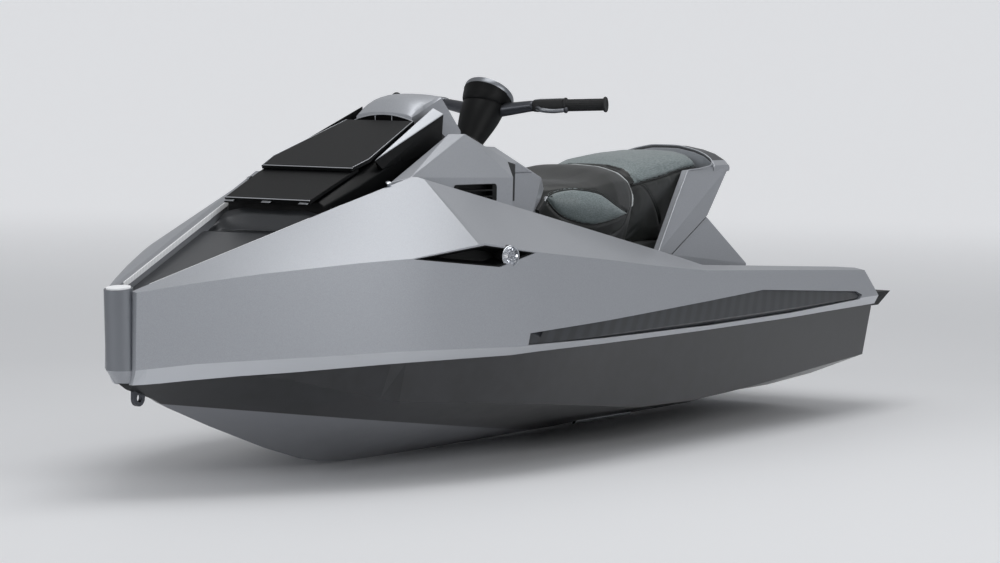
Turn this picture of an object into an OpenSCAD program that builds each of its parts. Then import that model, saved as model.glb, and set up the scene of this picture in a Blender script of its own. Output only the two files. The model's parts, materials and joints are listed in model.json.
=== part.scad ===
// Electric personal watercraft: a faceted three-seat runabout with a jet drive.
// Millimetres, +X towards the bow, +Y to port, +Z up.
// The origin is amidships on the centreline, at the waterline.

/* [Hull] */
// Length from the transom to the stem
hull_len = 3330; // [2900:10:3700]
// Beam over the rub rail
beam = 1200; // [1050:10:1300]
// Keel depth below the waterline
draft = 250; // [200:5:300]
// Height of the rub rail above the waterline
rail_z = 130; // [100:2:160]
// Height of the under-cut below the rub rail at the bow
bevel_h = 42; // [30:1:60]
// Width of the under-cut
bevel_w = 30; // [15:1:40]
// Height of the side crease above the waterline
crease_z = 370; // [330:5:400]
// Height of the front shoulder above the waterline
shoulder_z = 578; // [540:2:620]
// Half width across the front shoulders
shoulder_y = 280; // [250:5:310]
// Height of the foot trays above the waterline
floor_z = 150; // [140:2:180]

/* [Bow] */
// Radius of the nose cap
nose_r = 38; // [30:1:45]
// Depth of the hood below the bow edges
hood_sink = 34; // [25:1:45]
// Thickness of the hood and deck mouldings
skin_t = 24; // [15:1:30]
// Bow eye hole radius
eye_r = 11; // [8:0.5:14]
// Tow eye plate thickness
eye_t = 12; // [8:1:16]

/* [Lid] */
// Thickness of the lid panels
lid_t = 12; // [8:1:16]
// Half width of the lid at the fold
lid_half_w = 160; // [140:2:175]
// Clearance under the lid panels
lid_gap = 6; // [5:0.5:10]

/* [Steering] */
// Lean of the steering column from the vertical
column_lean = 38; // [30:1:45]
// Radius of the column cover at its head
column_r = 62; // [56:1:66]
// Radius of the display head
head_r = 78; // [68:1:84]
// Radius of the handlebar tube
bar_r = 11; // [9:0.5:12]
// Overall width of the handlebar
bar_w = 764; // [680:2:820]
// Length of a grip
grip_len = 132; // [105:1:135]
// Radius of a grip
grip_r = 19; // [16:0.5:22]

/* [Seat] */
// Height of the saddle above the waterline
seat_z = 592; // [560:2:620]
// Half width of the saddle at its widest
seat_half_w = 228; // [200:2:250]
// Half width of the seat base
base_half_w = 176; // [150:2:190]

/* [Jet] */
// Radius of the pump duct bore
duct_r = 78; // [70:1:90]
// Wall of the pump duct
duct_wall = 7; // [5:0.5:10]
// Number of impeller blades
blade_count = 4; // [3:1:6]
// Exit radius of the steering nozzle
nozzle_r = 46; // [40:1:52]

/* [Hidden] */

half_len = hull_len / 2;
half_beam = beam / 2;
// Tables and points are drawn for this length, and stretch with the set one
drawn_len = 3330;
stretch = hull_len / drawn_len;
// One overrun for every cut, one clearance between fixed pieces
over = 2;
fit = 0.4;
run_gap = 6;
smooth = 48;

// Lengthwise tables: [x share of half_len, value share]; each is named for what it gives
rail_y_shares = [[-1, 0.967], [-0.655, 0.992], [-0.243, 1], [0.111, 0.987], [0.341, 0.93], [0.599, 0.745],
                 [0.748, 0.493], [0.822, 0.363], [0.896, 0.226], [0.976, 0.085]];
rail_z_shares = [[-1, 1.1], [-0.655, 1.04], [-0.243, 0.977], [0.111, 0.923], [0.341, 0.877], [0.599, 0.938],
                 [0.748, 0.862], [0.822, 0.831], [0.896, 0.787], [0.976, 0.692]];
bevel_h_shares = [[-1, 0.74], [-0.63, 0.8], [-0.236, 0.74], [0.156, 0.61], [0.314, 0.58], [0.599, 0.84],
                  [0.748, 0.98], [0.822, 1], [0.896, 1.05], [0.976, 0.98]];
bevel_w_shares = [[-1, 0.85], [-0.6, 0.93], [0.599, 0.95], [0.748, 1.05], [0.822, 0.87],
                  [0.896, 0.61], [0.976, 0.3]];
crease_y_shares = [[-1, 0.925], [-0.3, 0.95], [-0.158, 0.95], [0.024, 0.933], [0.264, 0.883], [0.39, 0.817],
                   [0.568, 0.742], [0.648, 0.613], [0.795, 0.377], [0.896, 0.215], [0.976, 0.086]];
crease_z_shares = [[-1, 0.622], [-0.3, 0.757], [-0.158, 0.808], [0.024, 0.897], [0.264, 1.003], [0.39, 1.086],
                   [0.568, 0.997], [0.648, 0.97], [0.795, 0.903], [0.896, 0.843], [0.976, 0.786]];
sheer_y_shares = [[-1, 1.857], [-0.442, 1.679], [-0.396, 1.661], [-0.3, 1.589], [0.091, 1.232], [0.406, 1],
                  [0.976, 0.161]];
sheer_z_shares = [[-1, 0.41], [-0.442, 0.484], [-0.396, 0.495], [-0.3, 0.559], [0.091, 0.808], [0.406, 1],
                  [0.976, 0.505]];
wall_y_shares = [[-1, 1.6], [-0.8, 1.6], [-0.442, 1.457], [-0.396, 1.44], [-0.3, 1.367], [-0.11, 1.19],
                 [0.04, 0.945], [0.091, 0.938], [0.39, 0.962], [0.406, 0.93], [0.568, 0.68], [0.976, 0.11]];
keel_z_shares = [[-1, -0.97], [-0.38, -0.985], [0.13, -1], [0.37, -0.985], [0.45, -0.93], [0.5, -0.87],
                 [0.599, -0.69], [0.748, -0.366], [0.86, -0.1], [0.896, 0.01], [0.976, 0.17]];
inner_y_shares = [[-1, 0.55], [0.3, 0.57], [0.406, 0.562], [0.568, 0.467], [0.7, 0.296], [0.795, 0.152],
                  [0.86, 0.066], [0.896, 0.035], [0.976, 0.02]];
inner_z_shares = [[-1, -0.56], [-0.3, -0.62], [0.1, -0.58], [0.3, -0.46], [0.406, -0.39], [0.568, -0.3],
                  [0.7, -0.19], [0.795, -0.105], [0.86, -0.05], [0.896, 0.035], [0.976, 0.18]];
outer_y_shares = [[-1, 0.875], [-0.56, 0.892], [-0.31, 0.883], [-0.11, 0.867], [0.091, 0.835], [0.264, 0.83],
                  [0.568, 0.685], [0.648, 0.575], [0.748, 0.434], [0.795, 0.355],
                  [0.822, 0.31], [0.896, 0.188], [0.976, 0.06]];
outer_z_shares = [[-1, -0.248], [-0.56, -0.428], [-0.31, -0.492], [-0.11, -0.476], [0.091, -0.35],
                  [0.264, -0.24], [0.568, -0.078], [0.648, 0.034], [0.748, 0.21], [0.795, 0.25],
                  [0.822, 0.245], [0.896, 0.22], [0.976, 0.19]];
floor_z_shares = [[-1, 1.25], [-0.8, 1.17], [-0.65, 1.1], [-0.442, 1], [0.42, 1]];
// The transom lies a little aft of the reference length
transom_share = 1.031;
hull_stations = [-transom_share, -0.8, -0.65, -0.442, -0.396, -0.3, -0.11, 0.04, 0.091, 0.15, 0.264, 0.341,
                 0.39, 0.406, 0.45, 0.5, 0.568, 0.599, 0.648, 0.7, 0.748, 0.795, 0.822, 0.86, 0.896,
                 0.938, 0.96, 0.976];
transom_x = -half_len * transom_share;
// Forward lean of the side mouldings' aft ends, per height
stern_rake_share = 0.72;

function rail_y(s) = lookup(s, rail_y_shares) * half_beam;
function rail_h(s) = lookup(s, rail_z_shares) * rail_z;
function bevel_y(s) = rail_y(s) - lookup(s, bevel_w_shares) * bevel_w;
function bevel_z(s) = rail_h(s) - lookup(s, bevel_h_shares) * bevel_h;
function crease_y(s) = lookup(s, crease_y_shares) * half_beam;
function crease_h(s) = lookup(s, crease_z_shares) * crease_z;
function sheer_y(s) = lookup(s, sheer_y_shares) * shoulder_y;
function sheer_h(s) = lookup(s, sheer_z_shares) * shoulder_z;
function wall_y(s) = lookup(s, wall_y_shares) * shoulder_y;
function keel_h(s) = lookup(s, keel_z_shares) * draft;
function floor_h(s) = lookup(s, floor_z_shares) * floor_z;
function share_of(x) = x * 2 / drawn_len;

// Aft ends lean forward above the rub rail
function rake(s, z) = s == -transom_share ? stern_rake_share * (z - rail_h(s)) : 0;

// Loft through rings of equal point count: each ring is a list of [y, z, optional x shift] at its station
function ring_x(s, p) = s * half_len + (len(p) > 2 ? p[2] : 0);
function loft_points(stations, rings) = [
  for (i = [0:len(stations) - 1]) for (p = rings[i]) [ring_x(stations[i], p), p[0], p[1]]
];
function loft_faces(count, n) = concat(
  [[for (k = [n - 1:-1:0]) k]],
  [[for (k = [0:n - 1]) (count - 1) * n + k]],
  [for (i = [0:count - 2]) for (k = [0:n - 1]) [i * n + k, (i + 1) * n + (k + 1) % n, (i + 1) * n + k]],
  [for (i = [0:count - 2]) for (k = [0:n - 1]) [i * n + k, i * n + (k + 1) % n, (i + 1) * n + (k + 1) % n]]
);
module loft(stations, rings) {
  polyhedron(loft_points(stations, rings), loft_faces(len(stations), len(rings[0])));
}
// Convex faceted solid round a list of corners
module faceted(corners, along = stretch) {
  hull() polyhedron([for (c = corners) [c[0] * along, c[1], c[2]]], [[for (i = [0:len(corners) - 1]) i]]);
}
module both_sides() {
  children();
  mirror([0, 1, 0]) children();
}
function pick(stations, low, high) = [for (s = stations) if (s >= low && s <= high) s];

// Hull below the rub rail: keel, inner chine, outer chine and the flange under the deck
bow_tip_share = 0.96;
bottom_stations = pick(hull_stations, -transom_share, bow_tip_share);
module hull_body() {
  loft(bottom_stations, [for (s = bottom_stations) let (
      inner = [lookup(s, inner_y_shares) * half_beam, lookup(s, inner_z_shares) * draft],
      outer = [lookup(s, outer_y_shares) * half_beam, lookup(s, outer_z_shares) * draft])
    [[0, keel_h(s)], [-inner[0], inner[1]], [-outer[0], outer[1]], [-bevel_y(s), bevel_z(s)],
     [bevel_y(s), bevel_z(s)], [outer[0], outer[1]], [inner[0], inner[1]]]]);
}

// Bays inside the hull for the battery and the motor
battery_len = 780;
battery_w = 400;
battery_h = 190;
battery_x = -20;
battery_floor_z = -116;
motor_len = 300;
motor_r = 110;
motor_at = -640;
motor_x = motor_at * stretch;
shaft_z = -60;
duct_outer_r = duct_r + duct_wall;
tunnel_front_at = -900;
tunnel_front_x = tunnel_front_at * stretch;
recess_half_w = 165;
recess_top_z = 60;
module battery_block(grow) {
  translate([battery_x - grow, -battery_w / 2 - grow, battery_floor_z])
    cube([battery_len + 2 * grow, battery_w + 2 * grow, battery_h + grow]);
}
module motor_block(grow) {
  translate([motor_x - grow, 0, shaft_z]) rotate([0, 90, 0])
    cylinder(r = motor_r + grow, h = motor_len + 2 * grow, $fn = smooth);
}

// Jet duct: a pump bore along the hull, open at the stern, with an intake mouth in the bottom
intake_w = 150;
intake_front_at = -560;
intake_front_x = intake_front_at * stretch;
intake_back_at = -940;
intake_back_x = intake_back_at * stretch;
throat_in = 24;
module jet_tunnel() {
  translate([transom_x - over, 0, shaft_z]) rotate([0, 90, 0])
    cylinder(r = duct_outer_r + fit, h = tunnel_front_x - transom_x + over, $fn = smooth);
  intake_mouth();
}
module intake_mouth() {
  hull() {
    translate([intake_back_x, -intake_w / 2, -draft - over])
      cube([intake_front_x - intake_back_x, intake_w, over]);
    translate([tunnel_front_x - throat_in, 0, shaft_z]) rotate([0, 90, 0])
      cylinder(r = duct_r, h = over, $fn = smooth);
  }
}
pocket_front_at = -1435;
pocket_front_x = pocket_front_at * stretch;
module stern_pocket() {
  translate([transom_x - over, -recess_half_w, -draft - over])
    cube([pocket_front_x - transom_x + over, 2 * recess_half_w, draft + recess_top_z + over]);
}

module lower_hull() {
  color("#3a3b3e") difference() {
    hull_body();
    battery_block(fit);
    motor_block(fit);
    jet_tunnel();
    stern_pocket();
    translate([tunnel_front_x - over, 0, shaft_z]) rotate([0, 90, 0])
      cylinder(r = shaft_r + bearing_gap, h = motor_x - tunnel_front_x + 2 * over, $fn = smooth);
    translate([bow_eye_x - eye_plate_r - fit, -eye_t / 2 - fit, bow_eye_z - eye_plate_r])
      cube([2 * (eye_plate_r + fit), eye_t + 2 * fit, eye_plate_r + bow_eye_root + over]);
  }
}

// Side moulding: under-cut, side, shoulder facets, rim and inner wall
module side_body() {
  loft(hull_stations, [for (s = hull_stations) [for (p = [
      [wall_y(s), bevel_z(s) + fit], [wall_y(s), sheer_h(s)], [sheer_y(s), sheer_h(s)],
      [crease_y(s), crease_h(s)], [rail_y(s), rail_h(s)], [bevel_y(s), bevel_z(s) + fit]])
    [p[0], p[1], rake(s, p[1])]]]);
}
module side_panel() {
  difference() {
    side_body();
    nose_form(fit);
    insert_form(fit);
    lamp_recess_form(fit);
    side_lamp_form(fit);
  }
}
module side_panel_port() { color("#b9bbc0") side_panel(); }
module side_panel_starboard() { color("#b9bbc0") mirror([0, 1, 0]) side_panel(); }

// Nose cap: a round stem that tucks under at its foot
nose_top_at = 1636;
nose_top_x = nose_top_at * stretch;
nose_top_z = 300;
nose_mid_at = 1624;
nose_mid_x = nose_mid_at * stretch;
nose_mid_z = 88;
nose_foot_at = 1606;
nose_foot_x = nose_foot_at * stretch;
nose_foot_z = 54;
nose_foot_r_share = 0.6;
nose_disc_h = 3;
nose_tilt = 6;
module nose_form(grow) {
  hull() {
    translate([nose_top_x, 0, nose_top_z]) rotate([0, nose_tilt, 0])
      translate([0, 0, -nose_disc_h]) cylinder(r = nose_r + grow, h = nose_disc_h + grow, $fn = smooth);
    translate([nose_mid_x, 0, nose_mid_z]) cylinder(r = nose_r + grow, h = nose_disc_h, $fn = smooth);
    translate([nose_foot_x, 0, nose_foot_z])
      cylinder(r = nose_r * nose_foot_r_share + grow, h = nose_disc_h, $fn = smooth);
  }
}
lamp_disc_r_share = 0.84;
lamp_disc_h = 4;
module nose_cap() {
  color("#77797d") nose_form(0);
}
module nose_lamp() {
  color("white") translate([nose_top_x, 0, nose_top_z]) rotate([0, nose_tilt, 0])
    cylinder(r = nose_r * lamp_disc_r_share, h = lamp_disc_h, $fn = smooth);
}

// Tow eyes: drilled plates standing out of the stem and the transom
eye_plate_r = 22;
bow_eye_at = 1552;
bow_eye_x = bow_eye_at * stretch;
bow_eye_z = 10;
bow_eye_root = 46;
module eye_plate(root) {
  difference() {
    hull() {
      rotate([90, 0, 0]) cylinder(r = eye_plate_r, h = eye_t, center = true, $fn = smooth);
      translate([0, 0, root]) cube([2 * eye_plate_r, eye_t, over], center = true);
    }
    rotate([90, 0, 0]) cylinder(r = eye_r, h = eye_t + over, center = true, $fn = smooth);
  }
}
module bow_eye() {
  color("#8a8c90") translate([bow_eye_x, 0, bow_eye_z]) eye_plate(bow_eye_root);
}

// Hood: the sunk dark panel between the bow edges, dipping under the lid at its aft end
hood_front_share = 0.952;
hood_back_share = 0.579;
hood_dip = 30;
hood_dip_shares = [[0.579, 1], [0.6, 0.9], [0.648, 0]];
function hood_h(s) = sheer_h(s) - hood_sink - hood_dip * lookup(s, hood_dip_shares);
hood_stations = concat(
  [hood_back_share], pick(hull_stations, hood_back_share, hood_front_share), [hood_front_share]);
module hood() {
  color("#4c4e50") difference() {
    loft(hood_stations, [for (s = hood_stations) let (y = wall_y(s) - fit, z = hood_h(s))
      [[-y, z - skin_t], [-y, z], [y, z], [y, z - skin_t]]]);
    nose_form(fit);
  }
}

// Light strips on the inner walls of the bow edges
strip_t = 4;
strip_h = 16;
strip_back_share = 0.62;
strip_stations = concat([strip_back_share], pick(hull_stations, strip_back_share, hood_front_share));
module light_strip() {
  difference() {
    loft(strip_stations, [for (s = strip_stations) let (y = wall_y(s) - fit, z = sheer_h(s) - fit)
      [[y - strip_t, z - strip_h], [y - strip_t, z], [y, z], [y, z - strip_h]]]);
    nose_form(fit + over);
  }
}
module light_strips() { color("white") both_sides() light_strip(); }

// Black tray that closes the front bay between the side mouldings
tray_back_share = 0.1;
tray_front_share = 0.76;
tray_top_z = 400;
tray_stations = concat(
  [tray_back_share], pick(hull_stations, tray_back_share, tray_front_share), [tray_front_share]);
module front_tray() {
  color("#151517") difference() {
    loft(tray_stations, [for (s = tray_stations) let (
        y = wall_y(s) - fit, low = bevel_z(s) + fit, z = min(tray_top_z, hood_h(s) - skin_t - fit))
      [[-y, low], [-y, z], [y, z], [y, low]]]);
    bin_cut();
  }
}

// Cowl: the raised centre body that carries the lid and holds the front storage bin
// Columns: x, top half width, top height, shoulder half width, drop of the shoulder below the top
cowl_rows = [[215, 112, 650, 150, 36], [300, 112, 694, 150, 36], [446, 112, 711, 150, 36],
             [600, 138, 658, 168, 34], [820, 153, 570, 176, 22], [960, 144, 511, 164, 12]];
module cowl_body(grow) {
  loft([for (c = cowl_rows) share_of(c[0])], [for (c = cowl_rows) let (low = tray_top_z + fit)
    let (wide = c[3] + grow, top = c[2] + grow)
    [[-wide, low], [-wide, top - c[4]], [-c[1], top], [c[1], top], [wide, top - c[4]], [wide, low]]]);
}
module cowl() {
  color("#17181a") difference() {
    cowl_body(0);
    bin_cut();
    hinge_rod(hinge_r + bearing_gap, hinge_len + 2 * over);
  }
}
// Bright strips beside the upper lid panel, from the cap down to a point at the fold
// Corners: x, y, z; the first four are the face and the last four lie within the cowl
strip_corners = [[367, 124, 768], [350, 150, 751], [699, 177, 597], [729, 170, 622],
                 [363, 116, 690], [352, 146, 650], [602, 140, 630], [690, 160, 585]];
module cowl_strips() {
  color("#c4c6ca") difference() {
    both_sides() faceted(strip_corners);
    cowl_body(2 * fit);
    cap_body(2 * fit);
  }
}
bin_back_at = 520;
bin_back_x = bin_back_at * stretch;
bin_front_at = 930;
bin_front_x = bin_front_at * stretch;
bin_half_w = 112;
bin_floor_z = 330;
module bin_cut() {
  translate([bin_back_x, -bin_half_w, bin_floor_z])
    cube([bin_front_x - bin_back_x, 2 * bin_half_w, shoulder_z]);
}

// Cap over the cowl's top: an arched shell with air slots under its front edge
// Columns: x, half width, edge height, crown height
cap_rows = [[214, 122, 700, 716], [287, 101, 796, 807], [330, 100, 780, 807], [370, 100, 765, 802],
            [405, 99, 751, 789], [437, 97, 739, 754]];
cap_floor_z = 640;
arch_steps = 10;
slot_w = 50;
slot_h = 11;
slot_rise = 4;
slot_pitch = 60;
slot_depth = 50;
slot_z = 722;
function arch(half_w, edge, crown) = [for (i = [0:arch_steps]) let (a = 180 - i * 180 / arch_steps)
  [half_w * cos(a), edge + (crown - edge) * sin(a)]];
module cap_body(grow) {
  loft([for (c = cap_rows) share_of(c[0])], [for (c = cap_rows) let (w = c[1] + grow)
    concat([[-w, cap_floor_z]], arch(w, c[2] + grow, c[3] + grow), [[w, cap_floor_z]])]);
}
module cowl_cap() {
  front_x = cap_rows[len(cap_rows) - 1][0] * stretch;
  color("#b4b6ba") difference() {
    cap_body(0);
    cowl_body(fit);
    for (i = [-1:1]) translate([front_x - slot_depth, i * slot_pitch - slot_w / 2, slot_z])
      cube([slot_depth + over, slot_w, slot_h + slot_rise * (1 - abs(i))]);
  }
}

// Shoulder pods beside the cowl, each with an air intake in its wall
pod_corner_x = 676;
pod_corner_y = 256;
pod_top_x = 311;
pod_top_y = 200;
pod_top_z = 694;
pod_band_x = 365;
pod_band_y = 178;
pod_front_x = 724;
pod_front_y = 222;
pod_front_z = 562;
pod_back_x = 140;
pod_back_y = 260;
pod_back_z = 567;
pod_tail_x = 79;
pod_tail_y = 200;
pod_tail_z = 617;
intake_len = 228;
intake_h = 56;
intake_mid_at = 342;
intake_mid_x = intake_mid_at * stretch;
intake_mid_z = 523;
intake_depth = 46;
intake_corner = 12;
module intake_form(grow, depth) {
  translate([intake_mid_x, pod_back_y + over, intake_mid_z]) rotate([90, 0, 0])
    linear_extrude(depth) offset(intake_corner + grow, $fn = smooth)
      square([intake_len - 2 * intake_corner, intake_h - 2 * intake_corner], center = true);
}
pod_corners = [
  [pod_corner_x, pod_corner_y, shoulder_z - over], [pod_back_x, pod_back_y, pod_back_z],
  [pod_top_x, pod_top_y, pod_top_z], [pod_band_x, pod_band_y, pod_top_z],
  [pod_front_x, pod_front_y, pod_front_z], [pod_tail_x, pod_tail_y, pod_tail_z]
];
module pod() {
  difference() {
    faceted([for (c = pod_corners) each [c, [c[0], c[1], tray_top_z + fit]]]);
    intake_form(0, intake_depth);
  }
}
module pod_port() { color("#b4b6b8") pod(); }
module pod_starboard() { color("#b4b6b8") mirror([0, 1, 0]) pod(); }
slat_count = 3;
slat_t = 5;
grille_back = 34;
module intake_grille() {
  slat_pitch = intake_h / slat_count;
  difference() {
    translate([0, -over, 0]) intersection() {
      intake_form(-fit, intake_depth - over);
      translate([0, -grille_back + intake_depth, 0]) intake_form(-fit, intake_depth);
    }
    for (i = [0:slat_count - 1])
      translate([intake_mid_x, pod_back_y, intake_mid_z + (i - (slat_count - 1) / 2) * slat_pitch])
        cube([intake_len - 4 * intake_corner, intake_depth, slat_pitch - slat_t], center = true);
  }
}
module intake_grilles() { color("#101012") both_sides() intake_grille(); }

// Lid: two black panels in line down the slope, hinged at the upper edge
lid_top_at = 452;
lid_top_x = lid_top_at * stretch;
lid_top_z = 719;
lid_fold_at = 809;
lid_fold_x = lid_fold_at * stretch;
lid_fold_z = 592;
lid_foot_at = 992;
lid_foot_x = lid_foot_at * stretch;
lid_foot_z = 506;
lid_top_half_w_share = 0.74;
lid_foot_half_w_share = 0.9;
lid_chamfer_share = 0.82;
function slope_len(x1, z1, x2, z2) = sqrt(pow(x2 - x1, 2) + pow(z2 - z1, 2));
module sloped(x1, z1, x2, z2) {
  translate([x1, 0, z1]) rotate([0, atan2(z1 - z2, x2 - x1), 0]) children();
}
lid_wide_share = 1.04;
lid_fold_share = 0.97;
hinge_r = 8;
hinge_len = 190;
hinge_ahead = 6;
hinge_drop = 4;
hinge_x = lid_top_x + hinge_ahead;
hinge_z = lid_top_z - hinge_drop;
bearing_gap = 0.06;
module hinge_rod(r, length) {
  translate([hinge_x, 0, hinge_z]) rotate([90, 0, 0])
    cylinder(r = r, h = length, center = true, $fn = smooth);
}
module lid_upper() {
  length = slope_len(lid_top_x, lid_top_z, lid_fold_x, lid_fold_z);
  wide = lid_half_w * lid_wide_share;
  fold = lid_half_w * lid_fold_share;
  top = lid_half_w * lid_top_half_w_share;
  color("#17181a") {
    sloped(lid_top_x, lid_top_z, lid_fold_x, lid_fold_z) linear_extrude(lid_t)
      polygon([[0, top], [length * lid_chamfer_share, wide], [length, fold], [length, -fold],
        [length * lid_chamfer_share, -wide], [0, -top]]);
    hinge_rod(hinge_r, hinge_len);
  }
}
// Lower panel: its head tucks under the upper panel's edge
tuck = 30;
module above_upper() {
  sloped(lid_top_x, lid_top_z - fit, lid_fold_x, lid_fold_z - fit)
    translate([0, -2 * lid_half_w, 0]) cube([hull_len, 4 * lid_half_w, 2 * lid_t]);
}
module lid_lower() {
  length = slope_len(lid_fold_x, lid_fold_z - lid_t, lid_foot_x, lid_foot_z);
  fold = lid_half_w * lid_fold_share;
  foot = lid_half_w * lid_foot_half_w_share;
  color("#1a1b1d") difference() {
    sloped(lid_fold_x, lid_fold_z - lid_t, lid_foot_x, lid_foot_z) linear_extrude(lid_t)
      polygon([[-tuck, fold], [length, foot], [length, -foot], [-tuck, -fold]]);
    above_upper();
  }
}
// Bright lips along the fold and the foot of the lid, with tabs at the foot
lip_w = 6;
tab_w = 30;
tab_len = 16;
tab_in = 18;
module lid_trims() {
  upper = slope_len(lid_top_x, lid_top_z, lid_fold_x, lid_fold_z);
  lower = slope_len(lid_fold_x, lid_fold_z - lid_t, lid_foot_x, lid_foot_z);
  fold = lid_half_w * lid_fold_share;
  foot = lid_half_w * lid_foot_half_w_share;
  color("#c9cbd0") {
    sloped(lid_top_x, lid_top_z, lid_fold_x, lid_fold_z)
      translate([upper + bearing_gap, -fold, fit]) cube([lip_w, 2 * fold, lid_t - 2 * fit]);
    sloped(lid_fold_x, lid_fold_z - lid_t, lid_foot_x, lid_foot_z) translate([lower + bearing_gap, 0, 0]) {
      translate([0, -foot, 0]) cube([lip_w, 2 * foot, lid_t]);
      for (y = [-foot + tab_in, 0, foot - tab_in]) translate([0, y - tab_w / 2, 0])
        cube([tab_len, tab_w, lid_t / 2]);
    }
  }
}

// Console in front of the saddle, where the steering column comes out
console_front_x = 160;
console_mid_x = -56;
console_knee_x = -197;
console_back_x = -234;
console_half_w = 152;
console_top_z = 604;
console_ridge_z = 650;
console_knee_z = 557;
console_back_z = 521;
console_ridge_y = 70;
console_foot_share = 0.98;
console_tail_share = 0.92;
console_toe_x = -84;
console_toe_y = 166;
slit_h = 3;
slit_depth = 5;
slit_z = 572;
module console() {
  color("#b0b2b6") difference() {
    faceted([for (m = [-1, 1]) each [
      [console_front_x, m * console_half_w * console_foot_share, console_top_z],
      [console_mid_x, m * console_half_w, console_top_z],
      [console_knee_x, m * console_half_w, console_knee_z],
      [console_back_x, m * console_half_w * console_tail_share, console_back_z],
      [console_front_x, m * console_ridge_y, console_ridge_z],
      [console_mid_x, m * console_ridge_y, console_ridge_z],
      [console_front_x, m * console_half_w * console_foot_share, base_top_z + fit],
      [console_toe_x, m * console_toe_y, base_top_z + fit]]]);
    column_form(column_foot_r + 2 * run_gap, -collar_h * 2, collar_h * 4);
    both_sides() translate([console_back_x * stretch, console_half_w - slit_depth, slit_z])
      cube([(console_front_x - console_back_x) * stretch, console_half_w, slit_h]);
  }
}

// Steering column, leaning aft about its turning axis
head_at = -122;
head_x = head_at * stretch;
head_z = 796;
column_down = 205;
collar_h = 26;
collar_w = 14;
collar_down = 178;
module column_place() {
  translate([head_x, 0, head_z]) rotate([0, -column_lean, 0]) children();
}
module column_form(r, low, height) {
  column_place() translate([0, 0, -collar_down + low]) cylinder(r = r, h = height, $fn = smooth);
}
column_foot_share = 0.66;
column_foot_r = column_r * column_foot_share;
spigot_r_share = 0.64;
module column_collar() {
  color("#18181a") column_place() translate([0, 0, -collar_down - collar_h * 2]) difference() {
    cylinder(r = column_foot_r + 2 * run_gap - fit, h = collar_h * 2, $fn = smooth);
    translate([0, 0, collar_h])
      cylinder(r = column_foot_r * spigot_r_share, h = collar_h + over, $fn = smooth);
  }
}
column_len = 166;
yoke_len = 64;
module yoke(grow) {
  column_place() translate([0, 0, -collar_down + column_len - yoke_len])
    cylinder(r = column_r + grow, h = yoke_len, $fn = smooth);
}
module steering_column() {
  color("#202124") {
    column_place() translate([0, 0, -collar_down + fit])
      cylinder(r1 = column_foot_r, r2 = column_r, h = column_len - yoke_len - fit, $fn = smooth);
    yoke(0);
    column_place() translate([0, 0, -collar_down - collar_h + fit])
      cylinder(r = column_foot_r * spigot_r_share - fit, h = collar_h + over, $fn = smooth);
  }
}
head_h = 34;
head_low = -12;
head_foot_share = 0.84;
head_cone_share = 0.5;
rim_w = 12;
module head_form() {
  column_place() translate([0, 0, head_low + fit]) {
    cylinder(r1 = head_r * head_foot_share, r2 = head_r, h = head_h * head_cone_share, $fn = smooth);
    translate([0, 0, head_h * head_cone_share])
      cylinder(r = head_r, h = head_h * (1 - head_cone_share), $fn = smooth);
  }
}
module display_head() {
  color("#26272a") difference() {
    head_form();
    column_place() translate([0, 0, head_low + fit + head_h - glass_t])
      cylinder(r = head_r - rim_w, h = glass_t + over, $fn = smooth);
  }
}
glass_t = 5;
module display_glass() {
  color("#0b0d10") column_place() translate([0, 0, head_low + fit + head_h - glass_t])
    cylinder(r = head_r - rim_w - fit, h = glass_t, $fn = smooth);
}

// Handlebar: a swept tube through the column, with grips and levers
bar_at = -104;
bar_x = bar_at * stretch;
bar_z = 752;
bar_rise = 32;
bar_sweep = 70;
bar_bend_y = 150;
module rod(a, b, r) {
  d = b - a;
  translate(a) rotate([0, acos(d[2] / norm(d)), atan2(d[1], d[0])])
    cylinder(r = r, h = norm(d), $fn = smooth);
}
arm_share = 1.5;
bend_sweep_share = 0.4;
bend_rise_share = 0.7;
end_sweep_share = 1.2;
flange_share = 1.24;
flange_t = 7;
bar_mid = [bar_x, 0, bar_z];
bar_bend = [bar_x - bar_sweep * bend_sweep_share, bar_bend_y, bar_z + bar_rise * bend_rise_share];
bar_end = [bar_x - bar_sweep * end_sweep_share, bar_w / 2, bar_z + bar_rise];
bar_dir = (bar_end - bar_bend) / norm(bar_end - bar_bend);
module handlebar() {
  color("#2b2c2f") difference() {
    both_sides() {
      rod(bar_mid, bar_bend, bar_r * arm_share);
      rod(bar_bend, bar_end, bar_r);
    }
    yoke(fit);
  }
}
module grips() {
  color("#1a1a1b") both_sides() difference() {
    union() {
      rod(bar_end - bar_dir * grip_len, bar_end, grip_r);
      rod(bar_end - bar_dir * grip_len, bar_end - bar_dir * (grip_len - flange_t), grip_r * flange_share);
      rod(bar_end - bar_dir * flange_t, bar_end, grip_r * flange_share);
    }
    rod(bar_end - bar_dir * (grip_len + over), bar_end + bar_dir * over, bar_r + fit);
  }
}
lever_r = 6;
perch_r = 21;
perch_len = 98;
lever_out = 34;
lever_drop = 14;
lever_reach = 72;
lever_knob_r = 8;
module levers() {
  perch = bar_end - bar_dir * (grip_len + fit);
  root = perch - bar_dir * perch_len / 2;
  elbow = root + [lever_out, 0, -lever_drop];
  tip = elbow + bar_dir * lever_reach;
  color("#303135") both_sides() {
    difference() {
      union() {
        rod(perch - bar_dir * perch_len, perch, perch_r);
        rod(root, elbow, lever_r);
      }
      rod(perch - bar_dir * (perch_len + over), perch + bar_dir * over, bar_r + fit);
    }
    translate(elbow) sphere(r = lever_knob_r, $fn = smooth);
    rod(elbow, tip, lever_r);
    translate(tip) sphere(r = lever_knob_r, $fn = smooth);
  }
}

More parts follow.
